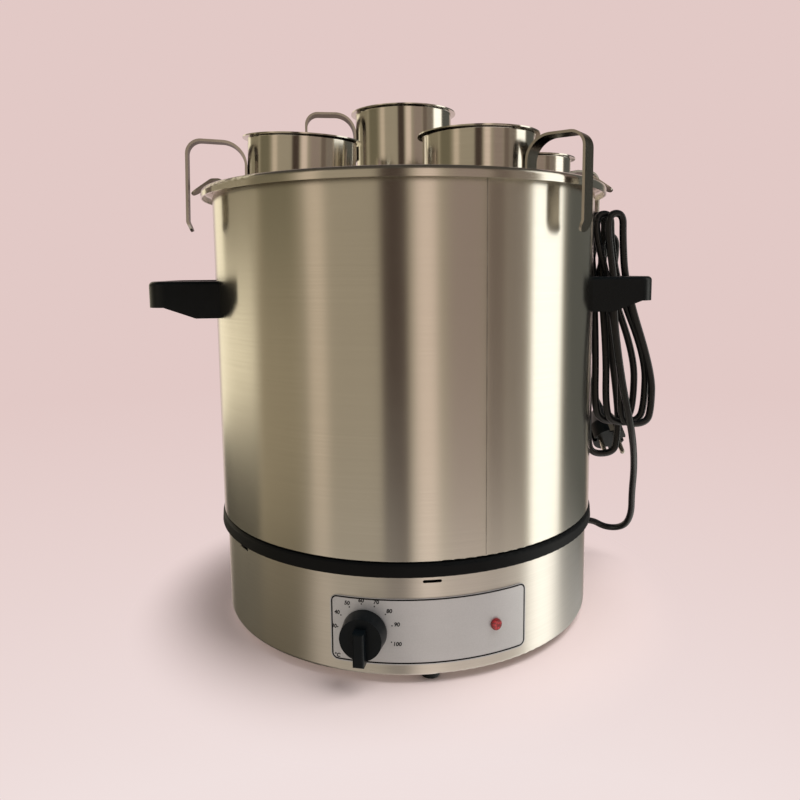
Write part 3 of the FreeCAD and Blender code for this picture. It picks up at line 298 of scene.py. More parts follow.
@dataclass(frozen=True)
class Moulded:
    """Moulded plastic or rubber with a fine skin.

    Attributes:
        name: The material's name.
        colour: Its colour.
        rub: Its colour where handling has polished or dusted it.
        rough: Roughness of the smoothest and the dullest places.
        skin: Size of the skin's grains, as a noise scale.
        depth: Height of the grains in metres.
        specular: Strength of its plain reflections.
    """

    name: str
    colour: Colour
    rub: Colour
    rough: tuple[float, float]
    skin: float = 2600.0
    depth: float = 1.2e-5
    specular: float = 0.3

    def material(self) -> bpy.types.Material:
        """Build the material."""
        material, shade = new_material(self.name)
        where = shade.place()
        grains = shade.noise(where, self.skin, 2.0)
        cloud = shade.noise(where, 22.0, 5.0, 0.6)
        dust = shade.noise(where, 420.0, 4.0, 0.7)
        bsdf = shade.node("BsdfPrincipled")
        worn = shade.math("MULTIPLY", shade.span(cloud, 0.42, 0.72), shade.span(dust, 0.35, 0.75))
        shade.feed(bsdf.inputs["Base Color"], shade.blend(worn, self.colour, self.rub))
        shade.feed(bsdf.inputs["Roughness"], shade.span(cloud, 0.3, 0.7, *self.rough))
        bsdf.inputs["Specular IOR Level"].default_value = self.specular
        shade.feed(bsdf.inputs["Normal"], shade.bump(grains, self.depth))
        shade.surface(bsdf.outputs[0])
        return material


@dataclass(frozen=True)
class SilverFoil:
    """The printed plate's silver ground: fine brushed flakes under a clear satin lacquer.

    Attributes:
        name: The material's name.
        light: Colour of its brightest flakes.
        dark: Colour of its dullest flakes.
    """

    name: str = "silver_foil"
    light: Colour = (0.66, 0.665, 0.67)
    dark: Colour = (0.56, 0.565, 0.57)

    def material(self) -> bpy.types.Material:
        """Build the material."""
        material, shade = new_material(self.name)
        flakes = shade.noise(shade.place((900.0, 900.0, 900.0)), 1.0, 2.0)
        lines = shade.noise(shade.place((30.0, 30.0, 1600.0)), 1.0, 3.0)
        cloud = shade.noise(shade.place((16.0, 16.0, 16.0)), 1.0, 3.0)
        fade = shade.math("ADD", shade.math("MULTIPLY", flakes, 0.35), shade.math("MULTIPLY", cloud, 0.65))
        bsdf = shade.node("BsdfPrincipled")
        shade.feed(bsdf.inputs["Base Color"], shade.blend(shade.span(fade, 0.3, 0.7), self.light, self.dark))
        bsdf.inputs["Metallic"].default_value = 0.55
        shade.feed(bsdf.inputs["Roughness"], shade.span(lines, 0.3, 0.7, 0.36, 0.5))
        bsdf.inputs["Coat Weight"].default_value = 0.25
        bsdf.inputs["Coat Roughness"].default_value = 0.3
        shade.feed(bsdf.inputs["Normal"], shade.bump(lines, 1.5e-6))
        shade.surface(bsdf.outputs[0])
        return material


@dataclass(frozen=True)
class LampRed:
    """Clear red plastic with a ribbed inside, its middle and its ribs lightened by a painted glow and
    painted glints.

    Attributes:
        name: The material's name.
        rim: Colour at the lens's edge.
        painted_glow_colour: Colour of the painted glow in its middle.
        painted_glow_reach: Where the painted glow begins to fade and where it ends, in metres.
        dome: How far the front stands out from the lens's middle, in metres.
    """

    name: str = "lamp_red"
    rim: Colour = (0.040, 0.0015, 0.004)
    painted_glow_colour: Colour = (0.72, 0.035, 0.045)
    painted_glow_reach: tuple[float, float] = (0.0012, 0.0046)
    dome: float = 0.0022

    def material(self) -> bpy.types.Material:
        """Build the material."""
        material, shade = new_material(self.name)
        corners = [Vector(corner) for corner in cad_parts["lamp_lens"].bound_box]
        middle = sum(corners, Vector()) / 8
        where = shade.place()
        facets = shade.node("TexVoronoi", feature="F1")
        shade.feed(facets.inputs["Vector"], where)
        facets.inputs["Scale"].default_value = 520.0
        # Painted glints: each rib's facet is painted lighter towards its middle.
        painted_glints = shade.span(facets.outputs["Distance"], 0.05, 0.6, 1.0, 0.25)
        across = shade.math("SUBTRACT", shade.distance(where, tuple(middle)), self.dome)
        # Painted glow: the lens is painted lighter towards its middle.
        painted_glow = shade.span(across, *self.painted_glow_reach, 1.0, 0.0, True)
        painted_shine = shade.math("MULTIPLY", painted_glints, painted_glow)
        bsdf = shade.node("BsdfPrincipled")
        # The painted glow and glints take the base colour from the rim's dark red to the core's bright red.
        shade.feed(bsdf.inputs["Base Color"], shade.blend(painted_shine, self.rim, self.painted_glow_colour))
        shade.feed(bsdf.inputs["Roughness"], shade.span(painted_shine, 0.0, 1.0, 0.12, 0.25))
        bsdf.inputs["Coat Weight"].default_value = 0.4
        bsdf.inputs["Coat Roughness"].default_value = 0.08
        shade.feed(bsdf.inputs["Normal"], shade.bump(facets.outputs["Distance"], 1.2e-4))
        shade.surface(bsdf.outputs[0])
        return material


BRIGHT = (0.70, 0.665, 0.60)
DULLED = (0.60, 0.565, 0.50)
FINISHES = {
    "wall": Steel("bath_wall_steel", BRIGHT, (0.65, 0.615, 0.55), (0.19, 0.235), Grain.ROUND_THE_DRUM, 0.85,
                  6e-7),
    "casing": Steel("casing_steel", (0.735, 0.695, 0.645), (0.655, 0.62, 0.57), (0.27, 0.35),
                    Grain.ROUND_THE_DRUM, 0.75, 1.5e-6),
    "cup": Steel("cup_steel", BRIGHT, DULLED, (0.12, 0.2), Grain.FINE_ROUND, 0.7, 5e-7),
    "strip": Steel("strip_steel", (0.44, 0.415, 0.375), (0.36, 0.335, 0.30), (0.2, 0.27), Grain.SATIN,
                   0.0, 0.0, (0.32, 0.31, 0.29)),
    "zinc": Steel("zinced_steel", (0.60, 0.61, 0.62), (0.46, 0.47, 0.48), (0.28, 0.45), Grain.ROLLED,
                  0.0, 4e-6),
    "aluminium": Steel("spread_aluminium", (0.80, 0.80, 0.81), (0.68, 0.68, 0.69), (0.3, 0.45),
                       Grain.ROLLED),
    "nickel": Steel("bare_nickel", (0.78, 0.75, 0.69), (0.66, 0.62, 0.55), (0.12, 0.24), Grain.UPRIGHT),
    "copper": Steel("probe_copper", (0.80, 0.45, 0.30), (0.55, 0.30, 0.2), (0.2, 0.38), Grain.ROLLED),
    "black": Moulded("black_moulding", (0.0030, 0.0044, 0.0050), (0.0065, 0.0085, 0.0095), (0.25, 0.36),
                     2600.0, 1.2e-5, 0.22),
    "dial": Moulded("dial_moulding", (0.0036, 0.0056, 0.0070), (0.0075, 0.0100, 0.0120), (0.30, 0.42),
                    2600.0, 1.2e-5, 0.16),
    "rubber": Moulded("black_rubber", (0.0030, 0.0036, 0.0042), (0.0060, 0.0066, 0.0072), (0.42, 0.55),
                      1500.0, 1e-5, 0.15),
    "lead": Moulded("lead_sheath", (0.0035, 0.0045, 0.0055), (0.0070, 0.0082, 0.0095), (0.24, 0.33),
                    1800.0, 4e-6, 0.5),
    "ink": Moulded("panel_ink", (0.008, 0.008, 0.009), (0.014, 0.014, 0.015), (0.4, 0.5),
                   3000.0, 2e-6, 0.15),
    "white": Moulded("white_resin", (0.78, 0.76, 0.70), (0.66, 0.63, 0.56), (0.3, 0.45)),
    "brown": Moulded("brown_resin", (0.10, 0.055, 0.035), (0.16, 0.10, 0.07), (0.35, 0.5)),
    "foil": SilverFoil(),
    "lamp": LampRed(),
}


# Modelling

def clear_selection() -> None:
    """Leave edit mode and deselect everything."""
    if bpy.context.object and bpy.context.object.mode != "OBJECT":
        bpy.ops.object.mode_set(mode="OBJECT")
    bpy.ops.object.select_all(action="DESELECT")


def settle(obj: bpy.types.Object, name: str, finish: bpy.types.Material, body: str,
           angle: float = 35.0) -> bpy.types.Object:
    """Apply a piece's place, shade it, give it its finish and let it ride on a body.

    Args:
        obj: The new mesh object, selected alone.
        name: Its final name.
        finish: Its material.
        body: The body that carries it.
        angle: Edges sharper than this many degrees stay sharp.

    Returns:
        The same object.
    """
    obj.name = name
    obj.data.name = name
    bpy.context.view_layer.objects.active = obj
    obj.select_set(True)
    bpy.ops.object.transform_apply(location=True, rotation=True, scale=True)
    bpy.ops.object.shade_smooth_by_angle(angle=math.radians(angle))
    obj.data.materials.clear()
    obj.data.materials.append(finish)
    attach(obj, body)
    clear_selection()
    log.info("piece %s: %d faces", name, len(obj.data.polygons))
    return obj


def wrap(obj: bpy.types.Object, radius: float, azimuth: float) -> None:
    """Bend a flat mesh round the drum: its X runs along the arc, its Y up and its Z out.

    Args:
        obj: The flat mesh.
        radius: Radius of the surface that it lies on.
        azimuth: Where its origin goes, in degrees from the front towards +X.
    """
    for vertex in obj.data.vertices:
        along, up, out = vertex.co
        turn = math.radians(azimuth) + along / radius
        vertex.co = ((radius + out) * math.sin(turn), -(radius + out) * math.cos(turn), up)


def dress(nodes: dict[str, str], made: dict[str, bpy.types.Material]) -> None:
    """Give carried-over nodes their finishes.

    Args:
        nodes: Finish name for each node.
        made: The built materials.
    """
    for node, finish in nodes.items():
        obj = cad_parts[node]
        for slot in obj.material_slots:
            slot.material = made[finish]
        log.info("node %s: %s", node, finish)


# Studio

@dataclass(frozen=True)
class Card:
    """A card, window or wall of the studio, as bright steel sees it.

    Attributes:
        start: Where it begins, in degrees round from the camera towards its right.
        end: Where it ends.
        colour: Its brightness.
        soft: How many degrees its edges fade over.
        low: Its lower edge, in degrees above the horizon.
        high: Its upper edge.
        cover: How much of the room behind it is hidden, from 0 to 1.
    """

    start: float
    end: float
    colour: Colour
    soft: float = 4.0
    low: float = -95.0
    high: float = 95.0
    cover: float = 1.0


@dataclass(frozen=True)
class Softbox:
    """A square light.

    Attributes:
        name: The light's name.
        azimuth: Where it hangs, in degrees round from the camera towards its right.
        height: Its height above the horizon in degrees.
        away: Its distance from the lit point in metres.
        size: The length of its side in metres.
        power: Its power in watts.
        colour: Its colour.
    """

    name: str
    azimuth: float
    height: float
    away: float
    size: float
    power: float
    colour: Colour


@dataclass
class Studio:
    """Camera, light, floor and backdrop.

    Attributes:
        place: The camera's place.
        yaw: Its turn about Z in degrees. Cards and softboxes are placed round from it.
        pitch: Its tilt in degrees.
        roll: Its roll in degrees.
        lens: Its focal length in millimetres.
        shift: Its lens shift.
        backdrop: Colour behind everything, and of the farthest floor.
        near_floor: Colour of the floor nearest to the camera.
        floor_radius: The floor's radius in metres.
        floor_tone: Nearness, as one over metres, of the farthest and the nearest colour.
        shadow_fade: Where the floor's shadows begin to fade and where they end, in metres.
        wall: Colour of the room where no card hangs.
        ceiling: Colour of the room's upper part.
        ceiling_rise: Where that begins and where it is full, in degrees above the horizon.
        ambient: Even light on everything, apart from what is reflected.
        cards: The cards, each laid over those before it.
        softboxes: The lights.
        lit_point: The point that they face.
    """

    place: Point = (-0.0759953, -0.6883566, 0.3236376)
    yaw: float = -6.3
    pitch: float = -6.751
    roll: float = -0.584
    lens: float = 31.391
    shift: tuple[float, float] = (-0.0064, -0.0579)
    backdrop: Colour = (0.760, 0.584, 0.565)
    near_floor: Colour = (0.866, 0.748, 0.735)
    floor_radius: float = 30.0
    floor_tone: tuple[float, float] = (0.5, 2.3)
    shadow_fade: tuple[float, float] = (0.185, 0.275)
    wall: Colour = (0.42, 0.36, 0.265)
    ceiling: Colour = (0.075, 0.066, 0.055)
    ceiling_rise: tuple[float, float] = (28.0, 46.0)
    ambient: Colour = (0.30, 0.296, 0.296)
    cards: tuple[Card, ...] = (
        Card(-98, -60, (0.40, 0.335, 0.225), 16),
        Card(-90, -62, (0.19, 0.165, 0.105), 12, 0.0),
        Card(-150, -95, (1.12, 1.0, 0.74), 12, -13),
        Card(-130, -92, (0.30, 0.255, 0.17), 10, 0.0),
        Card(-150, -97, (0.055, 0.048, 0.036), 8, -95, -12.5),
        Card(-56, -45, (0.70, 0.58, 0.44), 7),
        Card(-13, 2, (0.070, 0.047, 0.036), 4),
        Card(6, 18, (0.86, 0.70, 0.58), 7),
        Card(24, 46, (0.35, 0.275, 0.23), 10),
        Card(47, 59, (0.19, 0.145, 0.115), 4),
        Card(59, 74, (0.26, 0.215, 0.175), 6),
        Card(77, 103, (1.75, 1.72, 1.58), 4),
        Card(105, 146, (0.12, 0.12, 0.105), 8),
        Card(151, 209, (0.70, 0.55, 0.53), 12),
        Card(-64, 2, (0.50, 0.46, 0.41), 22, -95, -20.5, 0.72),
        Card(3, 74, (0.93, 0.85, 0.775), 8, -95, -22.5, 0.84),
        Card(103, 150, (0.70, 0.68, 0.65), 8, -95, -22.5, 0.9),
        # Painted shade: this dark low card stands for the floor's shadow left of the casing, which the steel
        # can't reflect because the floor is hidden from reflections.
        Card(-150, -62, (0.055, 0.049, 0.038), 14, -95, -22.5),
    )
    softboxes: tuple[Softbox, ...] = (
        Softbox("key_softbox", 72, 60, 1.6, 1.3, 28.0, (1.0, 0.99, 0.975)),
        Softbox("fill_softbox", -55, 38, 1.9, 1.4, 5.0, (1.0, 0.98, 0.95)),
        Softbox("top_softbox", 170, 62, 1.8, 1.2, 4.0, (1.0, 0.99, 0.98)),
    )
    lit_point: Point = (0.0, 0.0, 0.2)

    def make_camera(self) -> None:
        """Place the camera at the photograph's viewpoint."""
        bpy.ops.object.camera_add()
        camera = bpy.context.object
        camera.matrix_world = (Matrix.Translation(self.place)
                               @ Matrix.Rotation(math.radians(self.yaw), 4, "Z")
                               @ Matrix.Rotation(math.radians(90 + self.pitch), 4, "X")
                               @ Matrix.Rotation(math.radians(self.roll), 4, "Z"))
        camera.data.lens = self.lens
        camera.data.sensor_width = 36.0
        camera.data.shift_x, camera.data.shift_y = self.shift
        camera.data.dof.use_dof = False
        bpy.context.scene.camera = camera
        bpy.context.scene.view_settings.view_transform = "Standard"
        clear_selection()

    def card(self, shade: Shader, below: Source, azimuth: Socket, height: Socket, card: Card) -> Socket:
        """Lay one card over the room.

        Args:
            shade: The world's shader.
            below: The room's colour so far.
            azimuth: Socket of the direction round from the camera.
            height: Socket of the height above the horizon.
            card: The card.

        Returns:
            The room's colour with the card in it.
        """
        middle, half = (card.start + card.end) / 2, (card.end - card.start) / 2
        turned = shade.math("WRAP", shade.math("SUBTRACT", azimuth, middle), -180.0, 180.0)
        away = shade.math("ABSOLUTE", turned)
        cover = shade.span(away, half - card.soft / 2, half + card.soft / 2, 1.0, 0.0, True)
        over = shade.span(height, card.low - EDGE_FADE, card.low + EDGE_FADE, 0.0, 1.0, True)
        under = shade.span(height, card.high - EDGE_FADE, card.high + EDGE_FADE, 1.0, 0.0, True)
        tall = shade.math("MULTIPLY", shade.math("MULTIPLY", over, under), card.cover)
        return shade.blend(shade.math("MULTIPLY", cover, tall), below, card.colour)

    def make_world(self) -> None:
        """Soft even light, the room of cards in reflections, and the plain backdrop behind it all."""
        world = bpy.data.worlds.new("studio")
        bpy.context.scene.world = world
        world.use_nodes = True
        shade = Shader(world.node_tree)
        look = shade.node("TexCoord").outputs["Generated"]
        yaw = math.radians(self.yaw)
        right, behind = (math.cos(yaw), math.sin(yaw), 0.0), (math.sin(yaw), -math.cos(yaw), 0.0)
        sides = []
        for axis in (right, behind, (0.0, 0.0, 1.0)):
            dot = shade.node("VectorMath", operation="DOT_PRODUCT")
            shade.feed(dot.inputs[0], look)
            dot.inputs[1].default_value = axis
            sides.append(dot.outputs["Value"])
        degrees = math.degrees(1.0)
        azimuth = shade.math("MULTIPLY", shade.math("ARCTAN2", sides[0], sides[1]), degrees)
        height = shade.math("MULTIPLY", shade.math("ARCSINE", sides[2]), degrees)
        room = self.wall
        for card in self.cards:
            room = self.card(shade, room, azimuth, height, card)
        room = shade.blend(shade.span(height, *self.ceiling_rise, 0.0, 1.0, True), room, self.ceiling)
        path = shade.node("LightPath")
        light = shade.blend(path.outputs["Is Glossy Ray"], self.ambient, room)
        light = shade.blend(path.outputs["Is Camera Ray"], light, self.backdrop)
        background = shade.node("Background")
        shade.feed(background.inputs["Color"], light)
        out = shade.node("OutputWorld")
        shade.feed(out.inputs["Surface"], background.outputs[0])

    def hang(self, box: Softbox) -> None:
        """Hang one softbox, turned towards the object.

        Args:
            box: The softbox.
        """
        turn, rise = math.radians(box.azimuth + self.yaw), math.radians(box.height)
        target = Vector(self.lit_point)
        aim = Vector((math.sin(turn) * math.cos(rise), -math.cos(turn) * math.cos(rise), math.sin(rise)))
        data = bpy.data.lights.new(box.name, "AREA")
        data.size, data.energy, data.color = box.size, box.power, box.colour
        lamp = bpy.data.objects.new(box.name, data)
        bpy.context.scene.collection.objects.link(lamp)
        lamp.location = target + box.away * aim
        lamp.rotation_euler = (lamp.location - target).to_track_quat("Z", "Y").to_euler()
        lamp.visible_glossy = False

    def make_floor(self) -> None:
        """A wide pale floor whose far part fades into the backdrop."""
        bpy.ops.mesh.primitive_circle_add(vertices=96, radius=self.floor_radius, fill_type="NGON")
        floor = bpy.context.object
        floor.name = "floor"
        material, shade = new_material("pale_floor")
        where = shade.place()
        cloth = shade.noise(where, 300.0, 3.0)
        reach = shade.distance(where, (self.place[0], self.place[1], 0.0))
        nearness = shade.math("DIVIDE", 1.0, reach)
        tone = shade.blend(shade.span(nearness, *self.floor_tone), self.backdrop, self.near_floor)
        matt = shade.node("BsdfPrincipled")
        shade.feed(matt.inputs["Base Color"], tone)
        matt.inputs["Roughness"].default_value = 0.9
        matt.inputs["Specular IOR Level"].default_value = 0.1
        shade.feed(matt.inputs["Normal"], shade.bump(cloth, 1e-5))
        far = shade.node("Emission")
        shade.feed(far.inputs["Color"], tone)
        both = shade.node("MixShader")
        away = shade.distance(where, (0.0, 0.0, 0.0))
        shade.feed(both.inputs[0], shade.span(away, *self.shadow_fade, 0.0, 1.0, True))
        shade.feed(both.inputs[1], matt.outputs[0])
        shade.feed(both.inputs[2], far.outputs[0])
        shade.surface(both.outputs[0])
        floor.data.materials.append(material)
        floor.visible_glossy = False
        clear_selection()

    def build(self) -> None:
        """Set up the studio."""
        self.make_camera()
        self.make_world()
        for box in self.softboxes:
            self.hang(box)
        self.make_floor()
        log.info("studio ready")


# Mains lead

@dataclass
class MainsLead:
    """The lead from the gland, its hank through the right handle, and its plug. Sizes in millimetres.

    Attributes:
        diameter: The lead's diameter.
        length: Its whole length from the gland to the plug. Not used.
        gland_turn: Where it leaves the casing, in degrees from +X towards +Y.
        gland_reach: Distance of its first point from the Z axis.
        gland_level: Height of that point.
        straight: How far it runs straight out from there.
        lead: The points up to the right handle.
        tail: The points from the hank to the plug.
        loops: How many loops the hank has.
        front: Y of the first loop.
        pitch: Distance along Y from one loop to the next.
        waist: Height at which the hank is narrowest.
        waist_x: X of the first loop there.
        waist_half: Half the gap between its two sides there.
        waist_step: How far the next loop is moved along X there.
        top_x: X of the upper ends.
        top_sway: How far they stand to either side of it in turn.
        top: Height of the highest upper end.
        top_dip: How much lower the lowest is.
        top_half: Half the width of an upper end.
        top_shoulder: Its length, in halves of its width.
        low_x: X of the first lower end.
        low_step: How far the next one is moved along X.
        low: Height of the lower ends.
        low_half: Half the width of the narrowest.
        low_swell: How much is added to that for the widest.
        low_shoulder: The length of a lower end, in halves of its width.
        low_inset: How far its corners are drawn in, in halves of its width.
        long_drop: How much further down the last loop hangs.
        plug_face: Middle of the plug's face.
        plug_tilt: How far the plug points down, in degrees.
        plug_length: From its face to where the lead enters.
        plug_lead_in: How far the lead runs straight before it enters.
    """

    diameter: float = 7.0
    length: float = 2513.0
    gland_turn: float = 14.0
    gland_reach: float = 208.6
    gland_level: float = 40.0
    straight: float = 15.4
    lead: tuple[Point, ...] = (
        (234, 50.9, 30.2), (248.7, 36, 35.5), (252.3, 24.5, 53.4), (246, 11.2, 84), (240.5, -4.5, 113),
        (230.5, -24, 142), (219.5, -40, 170), (211, -39.5, 206), (204.5, -39, 244), (200, -38.5, 278),
    )
    tail: tuple[Point, ...] = (
        (196.3, 2.5, 290), (197.5, 8, 264), (201, 24, 242), (206, 44, 229), (213, 66.5, 225),
        (218, 77.9, 217), (221.5, 82.7, 204),
    )
    loops: int = 4
    front: float = -29.5
    pitch: float = 8.0
    waist: float = 308.0
    waist_x: float = 210.0
    waist_half: float = 4.3
    waist_step: float = -4.5
    top_x: float = 199.0
    top_sway: float = 4.5
    top: float = 384.0
    top_dip: float = 28.0
    top_half: float = 7.2
    top_shoulder: float = 3.0
    low_x: float = 229.0
    low_step: float = -8.0
    low: float = 169.0
    low_half: float = 16.0
    low_swell: float = 6.0
    low_shoulder: float = 3.2
    low_inset: float = 0.25
    long_drop: float = 36.0
    plug_face: Point = (223.0, 20.0, 141.0)
    plug_tilt: float = 40.0
    plug_length: float = 60.0
    plug_lead_in: float = 17.0

    def hank(self) -> list[Vector]:
        """The hank's points: over the top, down the right, under and up the left, once per loop."""
        points = []
        swing = math.pi / 3
        for number in range(self.loops + 1):
            y = self.front + self.pitch * number
            top_x = self.top_x + self.top_sway * (-1) ** number
            top_z = self.top - self.top_dip * math.sin((number - 0.5) * swing) ** 2
            waist_x = self.waist_x + self.waist_step * number
            low_x = self.low_x + self.low_step * number
            low_z = self.low - (self.long_drop if number == self.loops - 1 else 0.0)
            half = self.low_half + self.low_swell * math.sin(number * swing) ** 2
            if number:
                points.append(Vector((waist_x - self.waist_half, y, self.waist)))
            else:
                points.append(Vector((self.lead[-1][0], self.lead[-1][1], self.waist)))
            left, right = top_x - self.top_half, top_x + self.top_half
            shoulder = top_z - self.top_shoulder * self.top_half
            points += [Vector((left, y, shoulder)), Vector((left, y, top_z)),
                       Vector((right, y, top_z)), Vector((right, y, shoulder))]
            points.append(Vector((waist_x + self.waist_half, y, self.waist)))
            if number == self.loops:
                break
            right, left = low_x + half, low_x - half
            shoulder, inset = low_z + self.low_shoulder * half, self.low_inset * half
            points += [Vector((right, y, shoulder)), Vector((right, y, low_z + half)),
                       Vector((right - inset, y, low_z)), Vector((left + inset, y, low_z)),
                       Vector((left, y, low_z + half)), Vector((left, y, shoulder))]
        return points

    def route(self) -> list[Vector]:
        """Every control point of the lead from the gland to the plug, in metres."""
        turn = math.radians(self.gland_turn)
        out = Vector((math.cos(turn), math.sin(turn), 0.0))
        start = out * self.gland_reach + Vector((0.0, 0.0, self.gland_level))
        tilt = math.radians(self.plug_tilt)
        ahead = Vector((0.0, -math.cos(tilt), -math.sin(tilt)))
        entry = Vector(self.plug_face) - ahead * self.plug_length
        points = [start, start + out * self.straight] + [Vector(point) for point in self.lead] + self.hank()
        points += [Vector(point) for point in self.tail] + [entry - ahead * self.plug_lead_in, entry]
        return [point * MM for point in points]

    def build(self, made: dict[str, bpy.types.Material]) -> None:
        """Make the lead as one smooth curve and dress its plug.

        Args:
            made: The built materials.
        """
        points = self.route()
        curve = bpy.data.curves.new("mains_lead", "CURVE")
        curve.dimensions = "3D"
        spline = curve.splines.new("NURBS")
        spline.points.add(len(points) - 1)
        for knot, point in zip(spline.points, points):
            knot.co = (*point, 1.0)
        spline.order_u = 3
        spline.use_endpoint_u = True
        curve.resolution_u = 10
        curve.bevel_depth = self.diameter / 2 * MM
        curve.bevel_resolution = 5
        curve.use_fill_caps = True
        curve.materials.append(made["lead"])
        lead = bpy.data.objects.new("mains_lead", curve)
        bpy.context.scene.collection.objects.link(lead)
        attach(lead, "base")
        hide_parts("cord_lead", "cord_hank", "cord_tail")
        dress({"plug_body": "black", "plug_pins": "nickel", "plug_earth_clips": "nickel",
               "strain_relief": "rubber", "cord_gland": "black", "gland_nut": "black"}, made)
        log.info("mains lead: %d points", len(points))


# Panel

@dataclass
class ControlPanel:
    """The printed plate with its dial scale, the knob and the pilot lamp. Sizes in millimetres.

    Attributes:
        radius: Radius of the plate's face.
        width: The plate's width, straight across.
        low: Height of its lower edge.
        top: Height of its upper edge.
        corner: Radius of its corners.
        margin: Distance of the border from the plate's sides and lower edge.
        top_margin: Distance of the border from its upper edge.
        line: Width of the border.
        ink: Thickness of the print.
        knob_turn: Where the knob is, in degrees from the front towards +X.
        knob_level: Height of the knob's axis.
        dot_circle: Distance of the dots from that axis.
        dot_radius: Radius of a dot.
        figure_circle: Distance of the numbers from the knob's axis.
        nudges: How much further out single numbers are.
        figure_size: Size of the type.
        weight: How much its strokes are widened on each side.
        slant: How far it leans.
        scale: Where each number is, in degrees clockwise from straight up.
        unit_place: Where the unit is: along the arc from the knob, and its height.
    """

    radius: float = 177.8
    width: float = 159.0
    low: float = 16.5
    top: float = 71.0
    corner: float = 6.0
    margin: float = 0.95
    top_margin: float = 0.35
    line: float = 1.2
    ink: float = 0.1
    knob_turn: float = -17.3
    knob_level: float = 43.3
    dot_circle: float = 22.5
    dot_radius: float = 0.55
    figure_circle: float = 26.4
    nudges: dict[str, float] = field(default_factory=lambda: {
        "30": -0.7, "50": -0.3, "60": -1.1, "100": 0.9})
    figure_size: float = 4.5
    weight: float = 0.14
    slant: float = 0.12
    scale: dict[str, float] = field(default_factory=lambda: {
        "30": -87.0, "40": -60.0, "50": -33.0, "60": -6.0, "70": 21.0, "80": 48.0, "90": 75.0, "100": 110.0})
    unit_place: tuple[float, float] = (-23.3, 20.6)

    def border(self, ink: bpy.types.Material) -> None:
        """The line round the plate: a flat piece with rounded corners, inset, its middle taken out.

        Args:
            ink: The print's material.
        """
        wide = 2 * self.radius * math.asin(self.width / 2 / self.radius) - 2 * self.margin
        tall = self.top - self.low - self.margin - self.top_margin
        bpy.ops.mesh.primitive_plane_add(size=1.0, location=(0, 0, 0))
        plate = bpy.context.object
        plate.scale = (wide * MM, tall * MM, 1.0)
        bpy.ops.object.transform_apply(location=False, rotation=False, scale=True)
        bpy.ops.object.mode_set(mode="EDIT")
        bpy.ops.mesh.select_all(action="SELECT")
        bpy.ops.mesh.bevel(offset=(self.corner - self.margin) * MM, offset_type="OFFSET", segments=8,
                           profile=0.5, affect="VERTICES")
        bpy.ops.mesh.select_all(action="SELECT")
        bpy.ops.mesh.inset(thickness=self.line * MM)
        bpy.ops.mesh.delete(type="ONLY_FACE")
        bpy.ops.mesh.select_all(action="DESELECT")
        bpy.ops.object.mode_set(mode="OBJECT")
        self.cut_into_arcs(plate)
        self.thicken(plate)
        middle = (self.top - self.top_margin + self.low + self.margin) / 2 * MM
        for vertex in plate.data.vertices:
            vertex.co.y += middle
        wrap(plate, self.radius * MM, 0.0)
        settle(plate, "panel_border", ink, "base")

    @staticmethod
    def cut_into_arcs(plate: bpy.types.Object, step: float = 2.0) -> None:
        """Divide a flat piece every few millimetres along X, so that it can be bent.

        Args:
            plate: The flat piece.
            step: The length of each division in millimetres.
        """
        mesh = bmesh.new()
        mesh.from_mesh(plate.data)
        reach = int(max(abs(vertex.co.x) for vertex in mesh.verts) / (step * MM))
        for number in range(-reach, reach + 1):
            shape = mesh.verts[:] + mesh.edges[:] + mesh.faces[:]
            bmesh.ops.bisect_plane(mesh, geom=shape, plane_co=(number * step * MM, 0, 0), plane_no=(1, 0, 0))
        mesh.to_mesh(plate.data)
        mesh.free()

    def thicken(self, piece: bpy.types.Object) -> None:
        """Give a flat piece the print's thickness, standing out along +Z.

        Args:
            piece: The flat piece.
        """
        clear_selection()
        piece.select_set(True)
        bpy.context.view_layer.objects.active = piece
        modifier = piece.modifiers.new("thickness", "SOLIDIFY")
        modifier.thickness = self.ink * MM
        modifier.offset = 1.0
        bpy.ops.object.modifier_apply(modifier=modifier.name)

    def figure(self, words: str, along: float, up: float, name: str, ink: bpy.types.Material) -> None:
        """Print a number on the plate.

        Args:
            words: The characters.
            along: Distance from the plate's middle along its arc.
            up: Height.
            name: The piece's name.
            ink: The print's material.
        """
        bpy.ops.object.text_add(location=(0, 0, 0))
        piece = bpy.context.object
        piece.data.body = words
        piece.data.size = self.figure_size * MM
        piece.data.shear = self.slant
        piece.data.align_x = "CENTER"
        piece.data.align_y = "CENTER"
        piece.data.extrude = self.ink / 2 * MM
        piece.data.offset = self.weight * MM
        piece.data.resolution_u = 4
        bpy.ops.object.convert(target="MESH")
        for vertex in piece.data.vertices:
            vertex.co += Vector((along * MM, up * MM, self.ink / 2 * MM))
        wrap(piece, self.radius * MM, 0.0)
        settle(piece, name, ink, "base")

    def round_the_knob(self, circle: float, turn: float) -> tuple[float, float]:
        """Where a mark of the scale is printed.

        Args:
            circle: Its distance from the knob's axis.
            turn: Its angle in degrees, clockwise from straight up.

        Returns:
            Its distance from the plate's middle along the arc, and its height.
        """
        centre = math.radians(self.knob_turn) * self.radius
        angle = math.radians(turn)
        return centre + circle * math.sin(angle), self.knob_level + circle * math.cos(angle)

    def dots(self, ink: bpy.types.Material) -> None:
        """The scale's dots, one by each number.

        Args:
            ink: The print's material.
        """
        clear_selection()
        rounds = []
        for turn in self.scale.values():
            along, up = self.round_the_knob(self.dot_circle, turn)
            bpy.ops.mesh.primitive_circle_add(vertices=16, radius=self.dot_radius * MM, fill_type="NGON",
                                              location=(along * MM, up * MM, 0))
            rounds.append(bpy.context.object)
        for dot in rounds:
            dot.select_set(True)
        bpy.context.view_layer.objects.active = rounds[0]
        bpy.ops.object.join()
        dots = bpy.context.object
        bpy.ops.object.transform_apply(location=True, rotation=True, scale=True)
        self.thicken(dots)
        wrap(dots, self.radius * MM, 0.0)
        settle(dots, "scale_dots", ink, "base")

